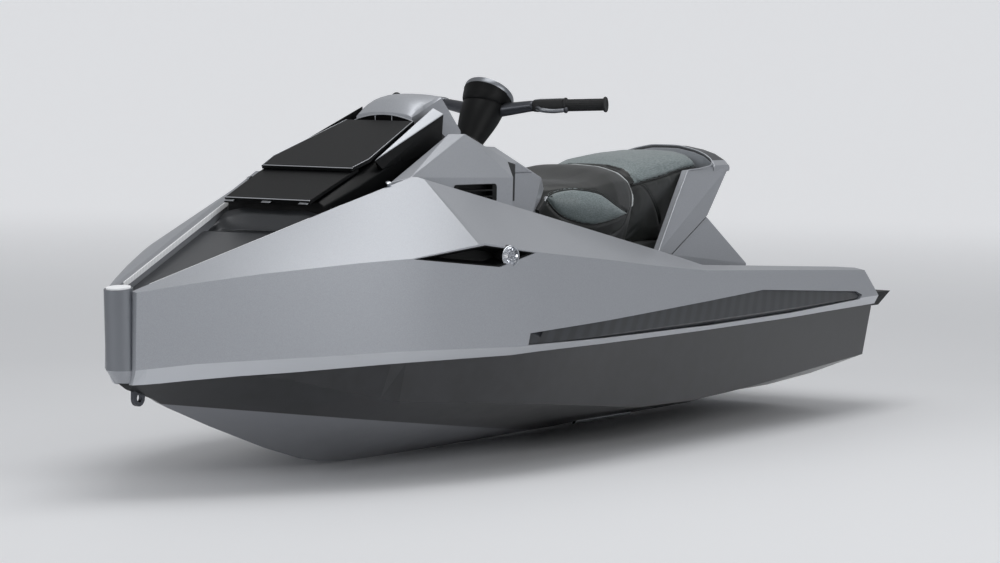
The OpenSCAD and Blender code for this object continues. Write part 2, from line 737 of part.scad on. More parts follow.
// Side lamps in dark diamond recesses with sloped inner faces
// Corners of the recess on the side moulding: x, share of the half beam, z
diamond = [[935, 0.745, 367], [650, 0.817, 396], [448, 0.882, 369], [600, 0.852, 335]];
diamond_mid = [640, 0.82, 365];
diamond_in_share = 0.63;
diamond_in_y = half_beam * diamond_in_share;
function on_side(c) = [c[0], c[1] * half_beam, c[2]];
pit_depth = 42;
pit_share = 0.56;
pit_out = 8;
recess_sink = 3;
module lamp_recess_form(grow) {
  translate([0, half_beam, 0]) rotate([90, 0, 0]) linear_extrude(half_beam - diamond_in_y + grow)
    offset(delta = grow) polygon([for (c = diamond) [c[0] * stretch, c[2]]]);
}
module lamp_recess() {
  difference() {
    intersection() {
      lamp_recess_form(0);
      translate([0, -recess_sink, 0]) side_body();
    }
    faceted([for (c = diamond) each [
      on_side(c) + [0, pit_out, 0],
      on_side(diamond_mid + (c - diamond_mid) * pit_share) - [0, pit_depth, 0]]]);
    side_lamp_form(fit);
  }
}
side_lamp_at = 556;
side_lamp_x = side_lamp_at * stretch;
side_lamp_y_share = 0.86;
side_lamp_y = half_beam * side_lamp_y_share;
side_lamp_z = 363;
side_lamp_r = 31;
side_lamp_len = 96;
side_lamp_turn = 20;
module side_lamp_form(grow) {
  translate([side_lamp_x, side_lamp_y, side_lamp_z]) rotate([-90, 0, -side_lamp_turn])
    translate([0, 0, -side_lamp_len]) cylinder(r = side_lamp_r + grow, h = side_lamp_len, $fn = smooth);
}
module lamp_recesses() { color("#0d0d0f") both_sides() lamp_recess(); }
module side_lamps() { color("#d8dade") both_sides() side_lamp_form(0); }

// Long dark inserts let into the sides above the rub rail
insert_depth = 30;
insert_sink = 10;
// Outline of an insert: x, z
insert_outline = [[528, 116], [512, 148], [-859, 203], [-1550, 164], [-1586, 151], [-1566, 137], [-1040, 120],
                  [-500, 113], [150, 114]];
module insert_form(grow) {
  translate([0, half_beam + over, 0]) rotate([90, 0, 0]) linear_extrude(insert_depth * 2 + over + grow)
    offset(delta = grow) polygon([for (p = insert_outline) [p[0] * stretch, p[1]]]);
}
module side_insert() {
  intersection() {
    insert_form(0);
    translate([0, -insert_sink, 0]) side_body();
  }
}
module side_inserts() { color("#2a2c30") both_sides() side_insert(); }

// Deck: foot trays and aft deck between the side mouldings
deck_stations = concat(pick(hull_stations, -transom_share, tray_back_share), [tray_back_share]);
module deck_body() {
  loft(deck_stations, [for (s = deck_stations) let (
      y = wall_y(s) - fit, low = bevel_z(s) + fit, z = floor_h(s))
    [[-y, low, rake(s, low)], [-y, z, rake(s, z)], [y, z, rake(s, z)], [y, low, rake(s, low)]]]);
}
module deck() {
  color("#8d8f93") deck_body();
}
mat_t = 6;
mat_in = 30;
mat_gap = 70;
mat_back_share = -0.96;
mat_front_share = -0.08;
mat_stations = concat(
  [mat_back_share], pick(hull_stations, mat_back_share, mat_front_share), [mat_front_share]);
module foot_mats() {
  inner = base_half_w + mat_gap;
  color("#1d1e20") both_sides()
    loft(mat_stations, [for (s = mat_stations) let (y = wall_y(s) - mat_in, z = floor_h(s))
      [[inner, z + fit], [inner, z + mat_t], [y, z + mat_t], [y, z + fit]]]);
}

// Seat: a pedestal, the saddle, the raised rear seat and a frame round its tail
// Columns: x, foot half width, middle half width, middle height, top half width, top height
base_rows = [[-1374, 200, 208, 236, 206, 250], [-1332, 202, 208, 250, 202, 290],
             [-1139, 204, 198, 290, 192, 330], [-1082, 204, 206, 290, 186, 340],
             [-800, 206, 212, 290, 184, 340], [-736, 204, 208, 290, 184, 340],
             [-500, 190, 196, 290, 182, 340], [-236, 160, 164, 290, 156, 340],
             [-60, 154, 158, 290, 154, 340], [150, 148, 152, 290, 146, 340]];
base_top_z = 340;
module seat_base() {
  color("#202123") loft([for (c = base_rows) share_of(c[0])],
    [for (c = base_rows) let (z = floor_h(share_of(c[0])) + fit)
      [[-c[1], z], [-c[2], c[3]], [-c[4], c[5]], [c[4], c[5]], [c[2], c[3]], [c[1], z]]]);
}
// Seat sections: x, then shares: half width, height of the widest line, top height
saddle_rows = [[-715, 0.8, 0.79, 0.965], [-640, 0.93, 0.78, 0.99], [-540, 1, 0.78, 0.995],
               [-430, 1, 0.785, 0.985],
               [-340, 0.86, 0.79, 0.968], [-280, 0.64, 0.79, 0.945], [-236, 0.42, 0.8, 0.91]];
rear_rows = [[-1232, 0.6, 0.9, 1.035], [-1180, 0.68, 0.92, 1.06], [-1074, 0.72, 0.92, 1.063],
             [-930, 0.76, 0.9, 1.05],
             [-811, 0.78, 0.88, 1.03], [-745, 0.78, 0.86, 1], [-716, 0.74, 0.85, 0.975]];
// Half section of a seat: shares of the half width and of the rise above the widest line
seat_ring_shares = [[1, 0], [0.985, 0.3], [0.9, 0.62], [0.72, 0.85], [0.42, 0.97], [0, 1]];
seat_foot_share = 0.84;
module seat_loft(rows) {
  last = len(seat_ring_shares) - 1;
  low = base_top_z + fit;
  loft([for (c = rows) share_of(c[0])], [for (c = rows) let (
      w = c[1] * seat_half_w, m = c[2] * seat_z, rise = c[3] * seat_z - m)
    concat([[-w * seat_foot_share, low]],
      [for (r = seat_ring_shares) [-w * r[0], m + rise * r[1]]],
      [for (i = [last - 1:-1:0]) let (r = seat_ring_shares[i]) [w * r[0], m + rise * r[1]]],
      [[w * seat_foot_share, low]])]);
}
module saddle() {
  color("#1b2220") seat_loft(saddle_rows);
}
module rear_seat() {
  color("#1b2220") seat_loft(rear_rows);
}
// Tail frame: side plates, fins below them and an arched back
tail_t = 22;
// Outer corners of a plate: x, y, z
tail_plate = [[-1056, 190, 566], [-1326, 202, 580], [-1139, 222, 416], [-866, 242, 300], [-772, 246, 312]];
fin_t = 16;
fin_tip = [-1145, 218, 412];
fin_aft = [-1392, 240, 250];
fin_fore = [-880, 238, 300];
// Columns: y, front x, back x, foot height, top height
arch_rows = [[0, -1246, -1312, 545, 642], [50, -1246, -1314, 545, 641], [110, -1244, -1322, 548, 630],
             [150, -1240, -1328, 552, 617], [185, -1230, -1330, 556, 597], [202, -1216, -1328, 562, 581]];
arch_nip = 8;
module tail_arch() {
  rotate([0, 0, 90]) loft([for (c = arch_rows) c[0] / half_len], [for (c = arch_rows) let (
      fore = -c[1] * stretch, aft = -c[2] * stretch)
    [[fore, c[3]], [fore, c[4] - arch_nip], [fore + arch_nip, c[4]], [aft - arch_nip, c[4]],
     [aft, c[4] - arch_nip], [aft, c[3]]]]);
}
function foot_of(p) = [p[0], p[1], floor_h(share_of(p[0])) + fit];
module tail_frame() {
  color("#b4b6bc") both_sides() {
    faceted([for (c = tail_plate) each [c, c - [0, tail_t, 0]]]);
    faceted([for (c = [fin_tip, fin_aft, fin_fore, foot_of(fin_aft), foot_of(fin_fore)])
      each [c, c - [0, fin_t, 0]]]);
    tail_arch();
  }
}

// Boarding platform behind the transom
platform_len = 185;
platform_half_w = 540;
platform_top_z = 148;
platform_h = 44;
platform_back_share = 1;
platform_foot_share = 0.5;
module stern_platform() {
  color("#1c1c1e") difference() {
    faceted([for (m = [-1, 1]) let (w = m * platform_half_w, low = platform_top_z - platform_h) each [
      [transom_x - fit, w, platform_top_z],
      [transom_x - platform_len, w * platform_back_share, platform_top_z],
      [transom_x - fit, w, low],
      [transom_x - platform_len * platform_foot_share, w * platform_back_share, low]]], 1);
    translate([-over, 0, 0]) {
      both_sides() side_body();
      deck_body();
    }
  }
}
stern_eye_y = 400;
stern_eye_z = 20;
module stern_eyes() {
  color("#8a8c90") both_sides() translate([transom_x - fit - bow_eye_root, stern_eye_y, stern_eye_z])
    rotate([0, 90, 0]) eye_plate(bow_eye_root - over / 2);
}

module battery_pack() { color("#5a5f66") battery_block(0); }
module drive_motor() { color("#6a6f76") motor_block(0); }

// Jet pump: duct with pivot ears, impeller on its shaft and steering nozzle
duct_back_at = -1470;
duct_back_x = duct_back_at * stretch;
ear_w = 34;
ear_t = 12;
ear_back_at = -1548;
ear_back_x = ear_back_at * stretch;
pivot_at = -1530;
pivot_x = pivot_at * stretch;
pivot_r = 8;
pivot_gap = 0.06;
pivot_z = 88;
module pump_duct() {
  color("#9a9da2") difference() {
    union() {
      translate([duct_back_x, 0, shaft_z]) rotate([0, 90, 0])
        cylinder(r = duct_outer_r, h = tunnel_front_x - duct_back_x - fit, $fn = smooth);
      for (m = [-1, 1]) translate([ear_back_x, -ear_w / 2, shaft_z + m * pivot_z - ear_t / 2])
        cube([duct_back_x + ear_w - ear_back_x, ear_w, ear_t]);
    }
    translate([duct_back_x - over, 0, shaft_z]) rotate([0, 90, 0])
      cylinder(r = duct_r, h = tunnel_front_x - duct_back_x + 2 * over, $fn = smooth);
    translate([pivot_x, 0, shaft_z - pivot_z - ear_t])
      cylinder(r = pivot_r + pivot_gap, h = 2 * (pivot_z + ear_t), $fn = smooth);
  }
}
shaft_r = 12;
hub_r = 30;
impeller_at = -1180;
impeller_x = impeller_at * stretch;
impeller_len = 110;
blade_t = 6;
blade_pitch = 35;
blade_share = 0.8;
tip_gap = 6;
module impeller() {
  color("#c8cacd") translate([impeller_x, 0, shaft_z]) rotate([0, 90, 0]) {
    cylinder(r = hub_r, h = impeller_len, $fn = smooth);
    cylinder(r = shaft_r, h = motor_x - impeller_x - over, $fn = smooth);
    intersection() {
      cylinder(r = duct_r - tip_gap, h = impeller_len, $fn = smooth);
      for (i = [0:blade_count - 1]) rotate([0, 0, i * 360 / blade_count])
        translate([duct_r / 2, 0, impeller_len / 2]) rotate([blade_pitch, 0, 0])
          cube([duct_r, blade_t, impeller_len * blade_share], center = true);
    }
  }
}
nozzle_len = 150;
nozzle_front_at = -1520;
nozzle_front_x = nozzle_front_at * stretch;
nozzle_wall = 6;
nozzle_in_r = 68;
module steering_nozzle() {
  color("#2a2b2e") difference() {
    union() {
      translate([nozzle_front_x, 0, shaft_z]) rotate([0, -90, 0])
        cylinder(r1 = nozzle_in_r + nozzle_wall, r2 = nozzle_r + nozzle_wall, h = nozzle_len, $fn = smooth);
      translate([pivot_x, 0, shaft_z - pivot_z - ear_t / 2])
        cylinder(r = pivot_r, h = 2 * pivot_z + ear_t, $fn = smooth);
    }
    translate([nozzle_front_x + over, 0, shaft_z]) rotate([0, -90, 0])
      cylinder(r1 = nozzle_in_r, r2 = nozzle_r, h = nozzle_len + 2 * over, $fn = smooth);
  }
}
grate_bar = 10;
grate_count = 4;
module intake_grate() {
  pitch = intake_w / grate_count;
  color("#777a7e") intersection() {
    intake_mouth();
    for (i = [0:grate_count - 1])
      translate([intake_back_x - over, (i - (grate_count - 1) / 2) * pitch - grate_bar / 2, grate_z])
        cube([intake_front_x - intake_back_x + 2 * over, grate_bar, grate_bar]);
  }
}
grate_z = -238;
ride_plate_t = 10;
ride_plate_z = -190;
module ride_plate() {
  color("#2a2b2e") translate([transom_x, -recess_half_w + fit, ride_plate_z])
    cube([pocket_front_x - transom_x - fit, 2 * (recess_half_w - fit), ride_plate_t]);
}

lower_hull();
side_panel_port();
side_panel_starboard();
deck();
nose_cap();
nose_lamp();
bow_eye();
hood();
light_strips();
front_tray();
cowl();
cowl_strips();
cowl_cap();
pod_port();
pod_starboard();
intake_grilles();
lid_upper();
lid_lower();
lid_trims();
console();
column_collar();
steering_column();
display_head();
display_glass();
handlebar();
grips();
levers();
lamp_recesses();
side_lamps();
side_inserts();
foot_mats();
seat_base();
saddle();
rear_seat();
tail_frame();
stern_platform();
stern_eyes();
battery_pack();
drive_motor();
pump_duct();
impeller();
steering_nozzle();
intake_grate();
ride_plate();
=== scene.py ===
import json
import math
import bpy
import bmesh
import numpy
from mathutils import Matrix, Vector
from mathutils.bvhtree import BVHTree


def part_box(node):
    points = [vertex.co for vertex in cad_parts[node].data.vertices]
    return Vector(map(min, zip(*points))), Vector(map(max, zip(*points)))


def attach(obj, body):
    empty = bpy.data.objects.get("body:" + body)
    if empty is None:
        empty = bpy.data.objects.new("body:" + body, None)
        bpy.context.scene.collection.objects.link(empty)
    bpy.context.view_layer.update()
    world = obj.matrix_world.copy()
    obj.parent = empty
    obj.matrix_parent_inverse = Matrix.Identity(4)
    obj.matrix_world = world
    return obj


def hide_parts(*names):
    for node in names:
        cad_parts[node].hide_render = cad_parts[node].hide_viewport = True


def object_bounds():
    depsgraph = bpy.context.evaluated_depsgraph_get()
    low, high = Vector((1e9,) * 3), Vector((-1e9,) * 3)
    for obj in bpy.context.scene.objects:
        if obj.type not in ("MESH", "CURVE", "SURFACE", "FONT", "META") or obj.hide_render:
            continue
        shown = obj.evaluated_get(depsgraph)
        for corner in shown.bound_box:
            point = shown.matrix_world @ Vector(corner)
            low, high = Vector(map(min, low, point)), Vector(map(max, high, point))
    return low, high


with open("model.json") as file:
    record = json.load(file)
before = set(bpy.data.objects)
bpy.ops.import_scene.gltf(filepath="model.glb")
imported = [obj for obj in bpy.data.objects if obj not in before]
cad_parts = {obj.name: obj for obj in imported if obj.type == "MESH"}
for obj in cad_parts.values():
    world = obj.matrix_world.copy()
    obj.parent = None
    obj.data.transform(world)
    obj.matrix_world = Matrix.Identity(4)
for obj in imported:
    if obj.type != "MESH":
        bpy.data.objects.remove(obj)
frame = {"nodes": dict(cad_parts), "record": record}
nodes = frame["nodes"]
cadBox = [list(corner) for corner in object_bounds()]
print("frame loaded:", len(nodes), "nodes")


def fromHex(text):  # sRGB hex to linear RGBA
    parts = [int(text[i:i + 2], 16) / 255 for i in (1, 3, 5)]
    return tuple(c / 12.92 if c <= 0.04045 else ((c + 0.055) / 1.055) ** 2.4 for c in parts) + (1.0,)


def addNode(tree, kind, settings=None, **links):  # one node, its settings, and what feeds its inputs
    node = tree.nodes.new(kind)
    for key, value in (settings or {}).items():
        if hasattr(node, key):
            setattr(node, key, value)
        else:
            node.inputs[key].default_value = value
    for key, source in links.items():
        tree.links.new(source, node.inputs[key.replace("_", " ")])
    return node


def maths(tree, operation, first, second):  # a math node; each input is a socket or a number
    node = addNode(tree, "ShaderNodeMath", {"operation": operation})
    for slot, value in zip(node.inputs, (first, second)):
        if isinstance(value, float):
            slot.default_value = value
        else:
            tree.links.new(value, slot)
    return node.outputs["Value"]


def newMaterial(name, colour, metallic, roughness, **extra):
    material = bpy.data.materials.new(name)
    material.use_nodes = True
    shader = material.node_tree.nodes["Principled BSDF"]
    shader.inputs["Base Color"].default_value = fromHex(colour)
    shader.inputs["Metallic"].default_value = metallic
    shader.inputs["Roughness"].default_value = roughness
    for key, value in extra.items():
        shader.inputs[key.replace("_", " ")].default_value = value
    return material, material.node_tree, shader


def byPlace(tree, kind, settings, stretch=None):  # a texture in object coordinates, stretched if asked
    where = addNode(tree, "ShaderNodeTexCoord").outputs["Object"]
    if stretch:
        where = addNode(tree, "ShaderNodeMapping", {"Scale": stretch}, Vector=where).outputs["Vector"]
    return addNode(tree, kind, settings, Vector=where)


def relief(tree, shader, height, strength, depthMm):  # bump from a height
    bump = addNode(tree, "ShaderNodeBump", {"Strength": strength, "Distance": depthMm / 1000.0}, Height=height)
    tree.links.new(bump.outputs["Normal"], shader.inputs["Normal"])


def grain(tree, shader, sizeMm, depthMm, spread, detail):  # bump and a spread of roughness from one noise
    noise = byPlace(tree, "ShaderNodeTexNoise", {"Scale": 1000.0 / sizeMm, "Detail": detail})
    relief(tree, shader, noise.outputs["Fac"], 0.6, depthMm)
    base = shader.inputs["Roughness"].default_value
    rough = addNode(tree, "ShaderNodeMapRange", {"To Min": base - spread, "To Max": base + spread},
                    Value=noise.outputs["Fac"])
    tree.links.new(rough.outputs["Result"], shader.inputs["Roughness"])
    return noise


def tint(tree, shader, noise, dark, light, low=0.35, high=0.65):  # colour drifts between two shades
    ramp = addNode(tree, "ShaderNodeValToRGB", Fac=noise.outputs["Fac"])
    for stop, place, colour in zip(ramp.color_ramp.elements, (low, high), (dark, light)):
        stop.position = place
        stop.color = fromHex(colour)
    tree.links.new(ramp.outputs["Color"], shader.inputs["Base Color"])


def toneBy(tree, shader, mask, colour):  # where the mask is on, this colour lies over the base
    under = shader.inputs["Base Color"].links[0].from_socket
    mix = addNode(tree, "ShaderNodeMixRGB", {"Color2": fromHex(colour)}, Fac=mask, Color1=under)
    tree.links.new(mix.outputs["Color"], shader.inputs["Base Color"])


def plain(name, colour, metallic, roughness, grainSet, shades=None, **extra):
    # grainSet: size and depth of the grain in mm, spread of roughness, detail
    material, tree, shader = newMaterial(name, colour, metallic, roughness, **extra)
    noise = grain(tree, shader, *grainSet)
    if shades:
        tint(tree, shader, noise, *shades)
    return material


flake = (1.6, 0.02, 0.05, 2.0)  # grain of a metallic lacquer
clearCoat = {"Coat_Weight": 0.2, "Coat_Roughness": 0.2}
bandTilt = -0.12  # faces of the sides that look down more than this are the rub band
highlightWedgeLine = {"x": (0.685, 1.429), "z": (-0.109, -0.017)}  # top of the keel wedge that is painted paler as a painted highlight, in metres


def sidePaintWithBandHighlight():  # the silver lacquer; the rub band, whose faces look down, is painted lighter as a painted highlight of the floor light on it
    material = plain("satinSilverSides", "#a2a5ab", 0.45, 0.4, flake, ("#999ca2", "#a6a9ae"), **clearCoat)
    tree = material.node_tree
    facing = addNode(tree, "ShaderNodeNewGeometry")
    tilt = addNode(tree, "ShaderNodeSeparateXYZ", Vector=facing.outputs["Normal"])
    # painted highlight: faces that look down more than bandTilt take a lighter tone
    toneBy(tree, tree.nodes["Principled BSDF"], maths(tree, "LESS_THAN", tilt.outputs["Z"], bandTilt), "#c3c6cb")
    return material


def hullGelcoatWithWedgeHighlight():  # charcoal gelcoat, faint long ripple from the mould; the keel wedge under the bow is painted paler, a painted highlight of the floor light on it
    material = plain("charcoalGelcoat", "#212225", 0.1, 0.3, (60.0, 0.15, 0.04, 2.0), ("#1f2022", "#252629"),
                     Specular_IOR_Level=0.35, Coat_Weight=0.2, Coat_Roughness=0.12)
    tree = material.node_tree
    parts = byPlace(tree, "ShaderNodeSeparateXYZ", {})
    (xAft, xFore), (zAft, zFore) = highlightWedgeLine["x"], highlightWedgeLine["z"]
    line = addNode(tree, "ShaderNodeMapRange", {"clamp": False, "From Min": xAft, "From Max": xFore, "To Min": zAft,
                                                "To Max": zFore}, Value=parts.outputs["X"])
    under = maths(tree, "LESS_THAN", parts.outputs["Z"], line.outputs["Result"])
    # painted highlight: below the line the hull takes a paler grey
    toneBy(tree, tree.nodes["Principled BSDF"], under, "#7d7f84")
    return material


def brushedAluminium():  # drawn aluminium, brushed up and down
    material, tree, shader = newMaterial("brushedAluminium", "#85888d", 0.95, 0.34)
    noise = byPlace(tree, "ShaderNodeTexNoise", {"Scale": 1.0, "Detail": 3.0}, (900.0, 900.0, 12.0))
    rough = addNode(tree, "ShaderNodeMapRange", {"To Min": 0.26, "To Max": 0.42}, Value=noise.outputs["Fac"])
    tree.links.new(rough.outputs["Result"], shader.inputs["Roughness"])
    return material


def lightStrip():  # opal acrylic over diodes: white, a little glow, a darker gap every 9 mm
    material, tree, shader = newMaterial("opalAcrylic", "#f2f4f6", 0.0, 0.35, Emission_Strength=0.1,
                                         Emission_Color=fromHex("#ffffff"))
    grain(tree, shader, 6.0, 0.01, 0.03, 1.0)
    diodes = byPlace(tree, "ShaderNodeTexWave", {"wave_type": "BANDS", "bands_direction": "X",
                                                 "Scale": 1000.0 / (9.0 * 20.0) * 2 * math.pi})
    tint(tree, shader, diodes, "#cfd2d5", "#f2f4f6", 0.3, 0.55)
    return material


def seatVinyl():  # marine vinyl: black with a green-grey sheen and a fine pebble grain
    material, tree, shader = newMaterial("marineVinyl", "#131615", 0.0, 0.44, Sheen_Weight=0.08, Sheen_Roughness=0.4)
    cells = byPlace(tree, "ShaderNodeTexVoronoi", {"Scale": 1000.0 / 2.2})
    relief(tree, shader, cells.outputs["Distance"], 0.5, 0.2)
    drift = byPlace(tree, "ShaderNodeTexNoise", {"Scale": 9.0, "Detail": 2.0})
    tint(tree, shader, drift, "#111413", "#181c1a")
    return material


def pearlVinylWithHighlight():  # lighter grey-green vinyl with a drawn grain; its lightness is partly two-tone upholstery and partly a painted highlight of the light on the bolsters and the seat top
    material, tree, shader = newMaterial("pearlVinylWithHighlight", "#727d7e", 0.0, 0.42, Sheen_Weight=0.15, Sheen_Roughness=0.35)
    streaks = byPlace(tree, "ShaderNodeTexNoise", {"Scale": 1.0, "Detail": 4.0}, (60.0, 500.0, 500.0))
    relief(tree, shader, streaks.outputs["Fac"], 0.5, 0.3)
    tint(tree, shader, streaks, "#616c6d", "#858f90")
    return material


def carbonTwill():  # woven carbon under lacquer: fine slanting bands
    material, tree, shader = newMaterial("carbonTwill", "#2b2d31", 0.2, 0.36, Coat_Weight=0.4, Coat_Roughness=0.1)
    wave = byPlace(tree, "ShaderNodeTexWave", {"wave_type": "BANDS", "bands_direction": "DIAGONAL",
                                               "Scale": 1000.0 / (5.0 * 20.0)})
    tint(tree, shader, wave, "#292b2e", "#323539", 0.2, 0.8)
    relief(tree, shader, wave.outputs["Fac"], 0.3, 0.3)
    return material


finishes = {
    "sides": sidePaintWithBandHighlight(), "hull": hullGelcoatWithWedgeHighlight(), "brushed": brushedAluminium(), "opal": lightStrip(),
    "vinyl": seatVinyl(), "pearl": pearlVinylWithHighlight(), "carbon": carbonTwill(),
    # metallic lacquer on moulded composite: fine flake, satin clear coat
    "silver": plain("satinSilverLacquer", "#a2a5ab", 0.45, 0.4, flake, ("#9c9fa5", "#a9acb1"), **clearCoat),
    # darker lacquer, the same flake
    "hood": plain("graphiteLacquer", "#3b3d40", 0.4, 0.42, flake, ("#37393c", "#404245"),
                  Coat_Weight=0.2, Coat_Roughness=0.25),
    # moulded deck, satin mid grey
    "deck": plain("greyDeckGelcoat", "#4a4c50", 0.2, 0.45, (2.0, 0.05, 0.06, 3.0), ("#46484b", "#505256")),
    # injection-moulded ABS with a satin face
    "gloss": plain("blackSatinAbs", "#08090a", 0.0, 0.45, (4.0, 0.02, 0.04, 2.0), Specular_IOR_Level=0.16),
    # textured ABS, spark-eroded grain
    "matte": plain("blackTexturedAbs", "#121314", 0.0, 0.6, (1.2, 0.08, 0.08, 3.0)),
    "bright": plain("brightAnodised", "#b4b7bc", 0.75, 0.36, (2.0, 0.01, 0.04, 2.0)),  # bright-anodised aluminium
    "gunmetal": plain("darkAnodised", "#4c4e53", 0.85, 0.34, flake),  # hard-anodised aluminium, dark grey
    "steel": plain("polishedStainless", "#b9bcc0", 1.0, 0.18, (3.0, 0.01, 0.05, 2.0)),  # polished marine stainless
    "cast": plain("castAluminium", "#8b8e93", 0.9, 0.5, (2.5, 0.12, 0.08, 4.0)),  # sand-cast, anodised grey
    # vacuum-metallised plastic in a lamp
    "mirror": plain("metallisedReflector", "#dcdee2", 1.0, 0.08, (5.0, 0.02, 0.03, 1.0)),
    # frosted acrylic disc, evenly white
    "frost": plain("frostedAcrylic", "#f0f2f4", 0.0, 0.4, (6.0, 0.01, 0.03, 1.0), Emission_Strength=0.08,
                   Emission_Color=fromHex("#ffffff")),
    # bonded cover glass, dark and glossy
    "screen": plain("screenGlass", "#0a0c10", 0.0, 0.08, (10.0, 0.005, 0.02, 1.0), Coat_Weight=1.0,
                    Coat_Roughness=0.02),
    "dial": plain("dialPrint", "#9aa0a6", 0.0, 0.4, (0.6, 0.01, 0.05, 1.0)),  # pale print under the cover glass
    "rubber": plain("mouldedRubber", "#18191a", 0.0, 0.72, (1.5, 0.1, 0.06, 3.0)),  # moulded, dull
    "foam": plain("closedCellFoam", "#232527", 0.0, 0.85, (1.8, 0.25, 0.06, 5.0)),  # dull and pitted
    "piping": plain("greyPipingVinyl", "#b4b9b9", 0.0, 0.42, (1.5, 0.05, 0.05, 3.0)),  # welt cord in pale vinyl
    "thread": plain("polyesterThread", "#6c706f", 0.0, 0.6, (0.8, 0.05, 0.05, 2.0)),  # bonded thread, mid grey
    # painted shade: near-black and dull, for the shadowed inside of an air slot
    "void": plain("slotShadeBlack", "#050506", 0.0, 0.9, (0.8, 0.05, 0.05, 2.0), Specular_IOR_Level=0.1),
}
# nodes that are shown as they are
for name, finish in (("battery_pack", "cast"), ("drive_motor", "cast"), ("impeller", "steel")):
    nodes[name].data.materials.clear()
    nodes[name].data.materials.append(finishes[finish])
print("finishes made:", len(finishes))


def shown(name, data):  # an object with this data, linked to the scene
    piece = bpy.data.objects.new(name, data)
    bpy.context.scene.collection.objects.link(piece)
    return piece


def copyOf(*names):  # merged copy of CAD nodes, flat areas joined, to start a piece from
    mesh = bmesh.new()
    for name in names:
        mesh.from_mesh(nodes[name].data)
    bmesh.ops.remove_doubles(mesh, verts=mesh.verts, dist=0.00003)
    bmesh.ops.dissolve_limit(mesh, angle_limit=math.radians(0.06), verts=mesh.verts, edges=mesh.edges)
    bmesh.ops.recalc_face_normals(mesh, faces=mesh.faces)
    return mesh


def roundEdges(mesh, widthMm, sharp):  # bevels each edge that folds more than sharp degrees and is long enough
    shortest = widthMm * 0.004
    edges = [e for e in mesh.edges if len(e.link_faces) == 2 and e.calc_face_angle() > math.radians(sharp)]
    cramped = {v for e in edges if e.calc_length() < shortest for v in e.verts}
    edges = [e for e in edges if not cramped.intersection(e.verts)]
    bmesh.ops.bevel(mesh, geom=edges, offset=widthMm / 1000, offset_type="OFFSET", segments=2, profile=0.5,
                    affect="EDGES", clamp_overlap=False)


def toObject(mesh, name, finish, smooth=35.0):  # bmesh to a linked object with its finish
    data = bpy.data.meshes.new(name)
    mesh.to_mesh(data)
    mesh.free()
    data.shade_smooth()
    data.set_sharp_from_angle(angle=math.radians(smooth))
    data.materials.append(finishes[finish])
    return shown(name, data)


def settle(piece):  # what the modifiers give becomes the plain mesh
    graph = bpy.context.evaluated_depsgraph_get()
    data = bpy.data.meshes.new_from_object(piece.evaluated_get(graph))
    piece.modifiers.clear()
    piece.data = data
    return piece


def place(piece, body, *replaced):  # the piece rides its body and stands for these nodes
    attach(piece, body)
    if replaced:
        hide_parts(*replaced)
    return piece


def evenShading(piece):  # flat faces stay flat beside their rounded edges
    even = piece.modifiers.new("even", "WEIGHTED_NORMAL")
    even.keep_sharp = True
    even.weight = 60
    return settle(piece)


def sheetsOf(mesh, fold, family):  # a number for each broad facet: faces of one family joined by slight folds
    sheet = [-1] * len(mesh.faces)
    count = 0
    for seed in mesh.faces:
        if sheet[seed.index] >= 0:
            continue
        sheet[seed.index] = count
        waiting = [seed]
        while waiting:
            face = waiting.pop()
            for other in (near for edge in face.edges for near in edge.link_faces):
                slight = face.normal.angle(other.normal, 0.0) < math.radians(fold)
                if sheet[other.index] < 0 and slight and family(face) == family(other):
                    sheet[other.index] = count
                    waiting.append(other)
        count += 1
    return sheet, count


def flow(piece, reachMm, fold, family):  # shading averaged over each broad facet, so that it reads as one sheet
    mesh = bmesh.new()
    mesh.from_mesh(piece.data)
    mesh.faces.ensure_lookup_table()
    sheet, count = sheetsOf(mesh, fold, family)
    spots, facing = [[] for _ in range(count)], [[] for _ in range(count)]
    for corners in mesh.calc_loop_triangles():
        a, b, c = (loop.vert.co for loop in corners)
        face = corners[0].face
        area = (b - a).cross(c - a).length / 2
        rows = max(1, min(24, int(math.sqrt(area) / 0.02)))  # one spot about every 20 mm
        for i in range(rows):
            for k in range(rows - i):
                u, v = (i + 0.33) / rows, (k + 0.33) / rows
                spots[sheet[face.index]].append(a + (b - a) * u + (c - a) * v)
                facing[sheet[face.index]].append(face.normal * area / (rows * (rows + 1) / 2))
    spots, facing = [numpy.array(s) for s in spots], [numpy.array(f) for f in facing]
    known, normals = {}, []
    for face in mesh.faces:
        for loop in face.loops:
            key = (loop.vert.index, sheet[face.index])
            if key not in known:
                gaps = ((spots[key[1]] - numpy.array(loop.vert.co)) ** 2).sum(axis=1)
                weights = numpy.exp(-gaps / (reachMm / 1000) ** 2) + 1e-9
                known[key] = Vector((facing[key[1]] * weights[:, None]).sum(axis=0)).normalized()
            normals.append(known[key])
    mesh.free()
    piece.data.shade_smooth()
    piece.data.normals_split_custom_set(normals)


def recolour(piece, finish, wanted):  # faces that pass a test take another finish
    piece.data.materials.append(finishes[finish])
    slot = len(piece.data.materials) - 1
    for face in piece.data.polygons:
        if wanted(face.center, face.normal):
            face.material_index = slot


bodyOf = {name: body for body, names in frame["record"]["behaviour"]["bodies"].items() for name in names}

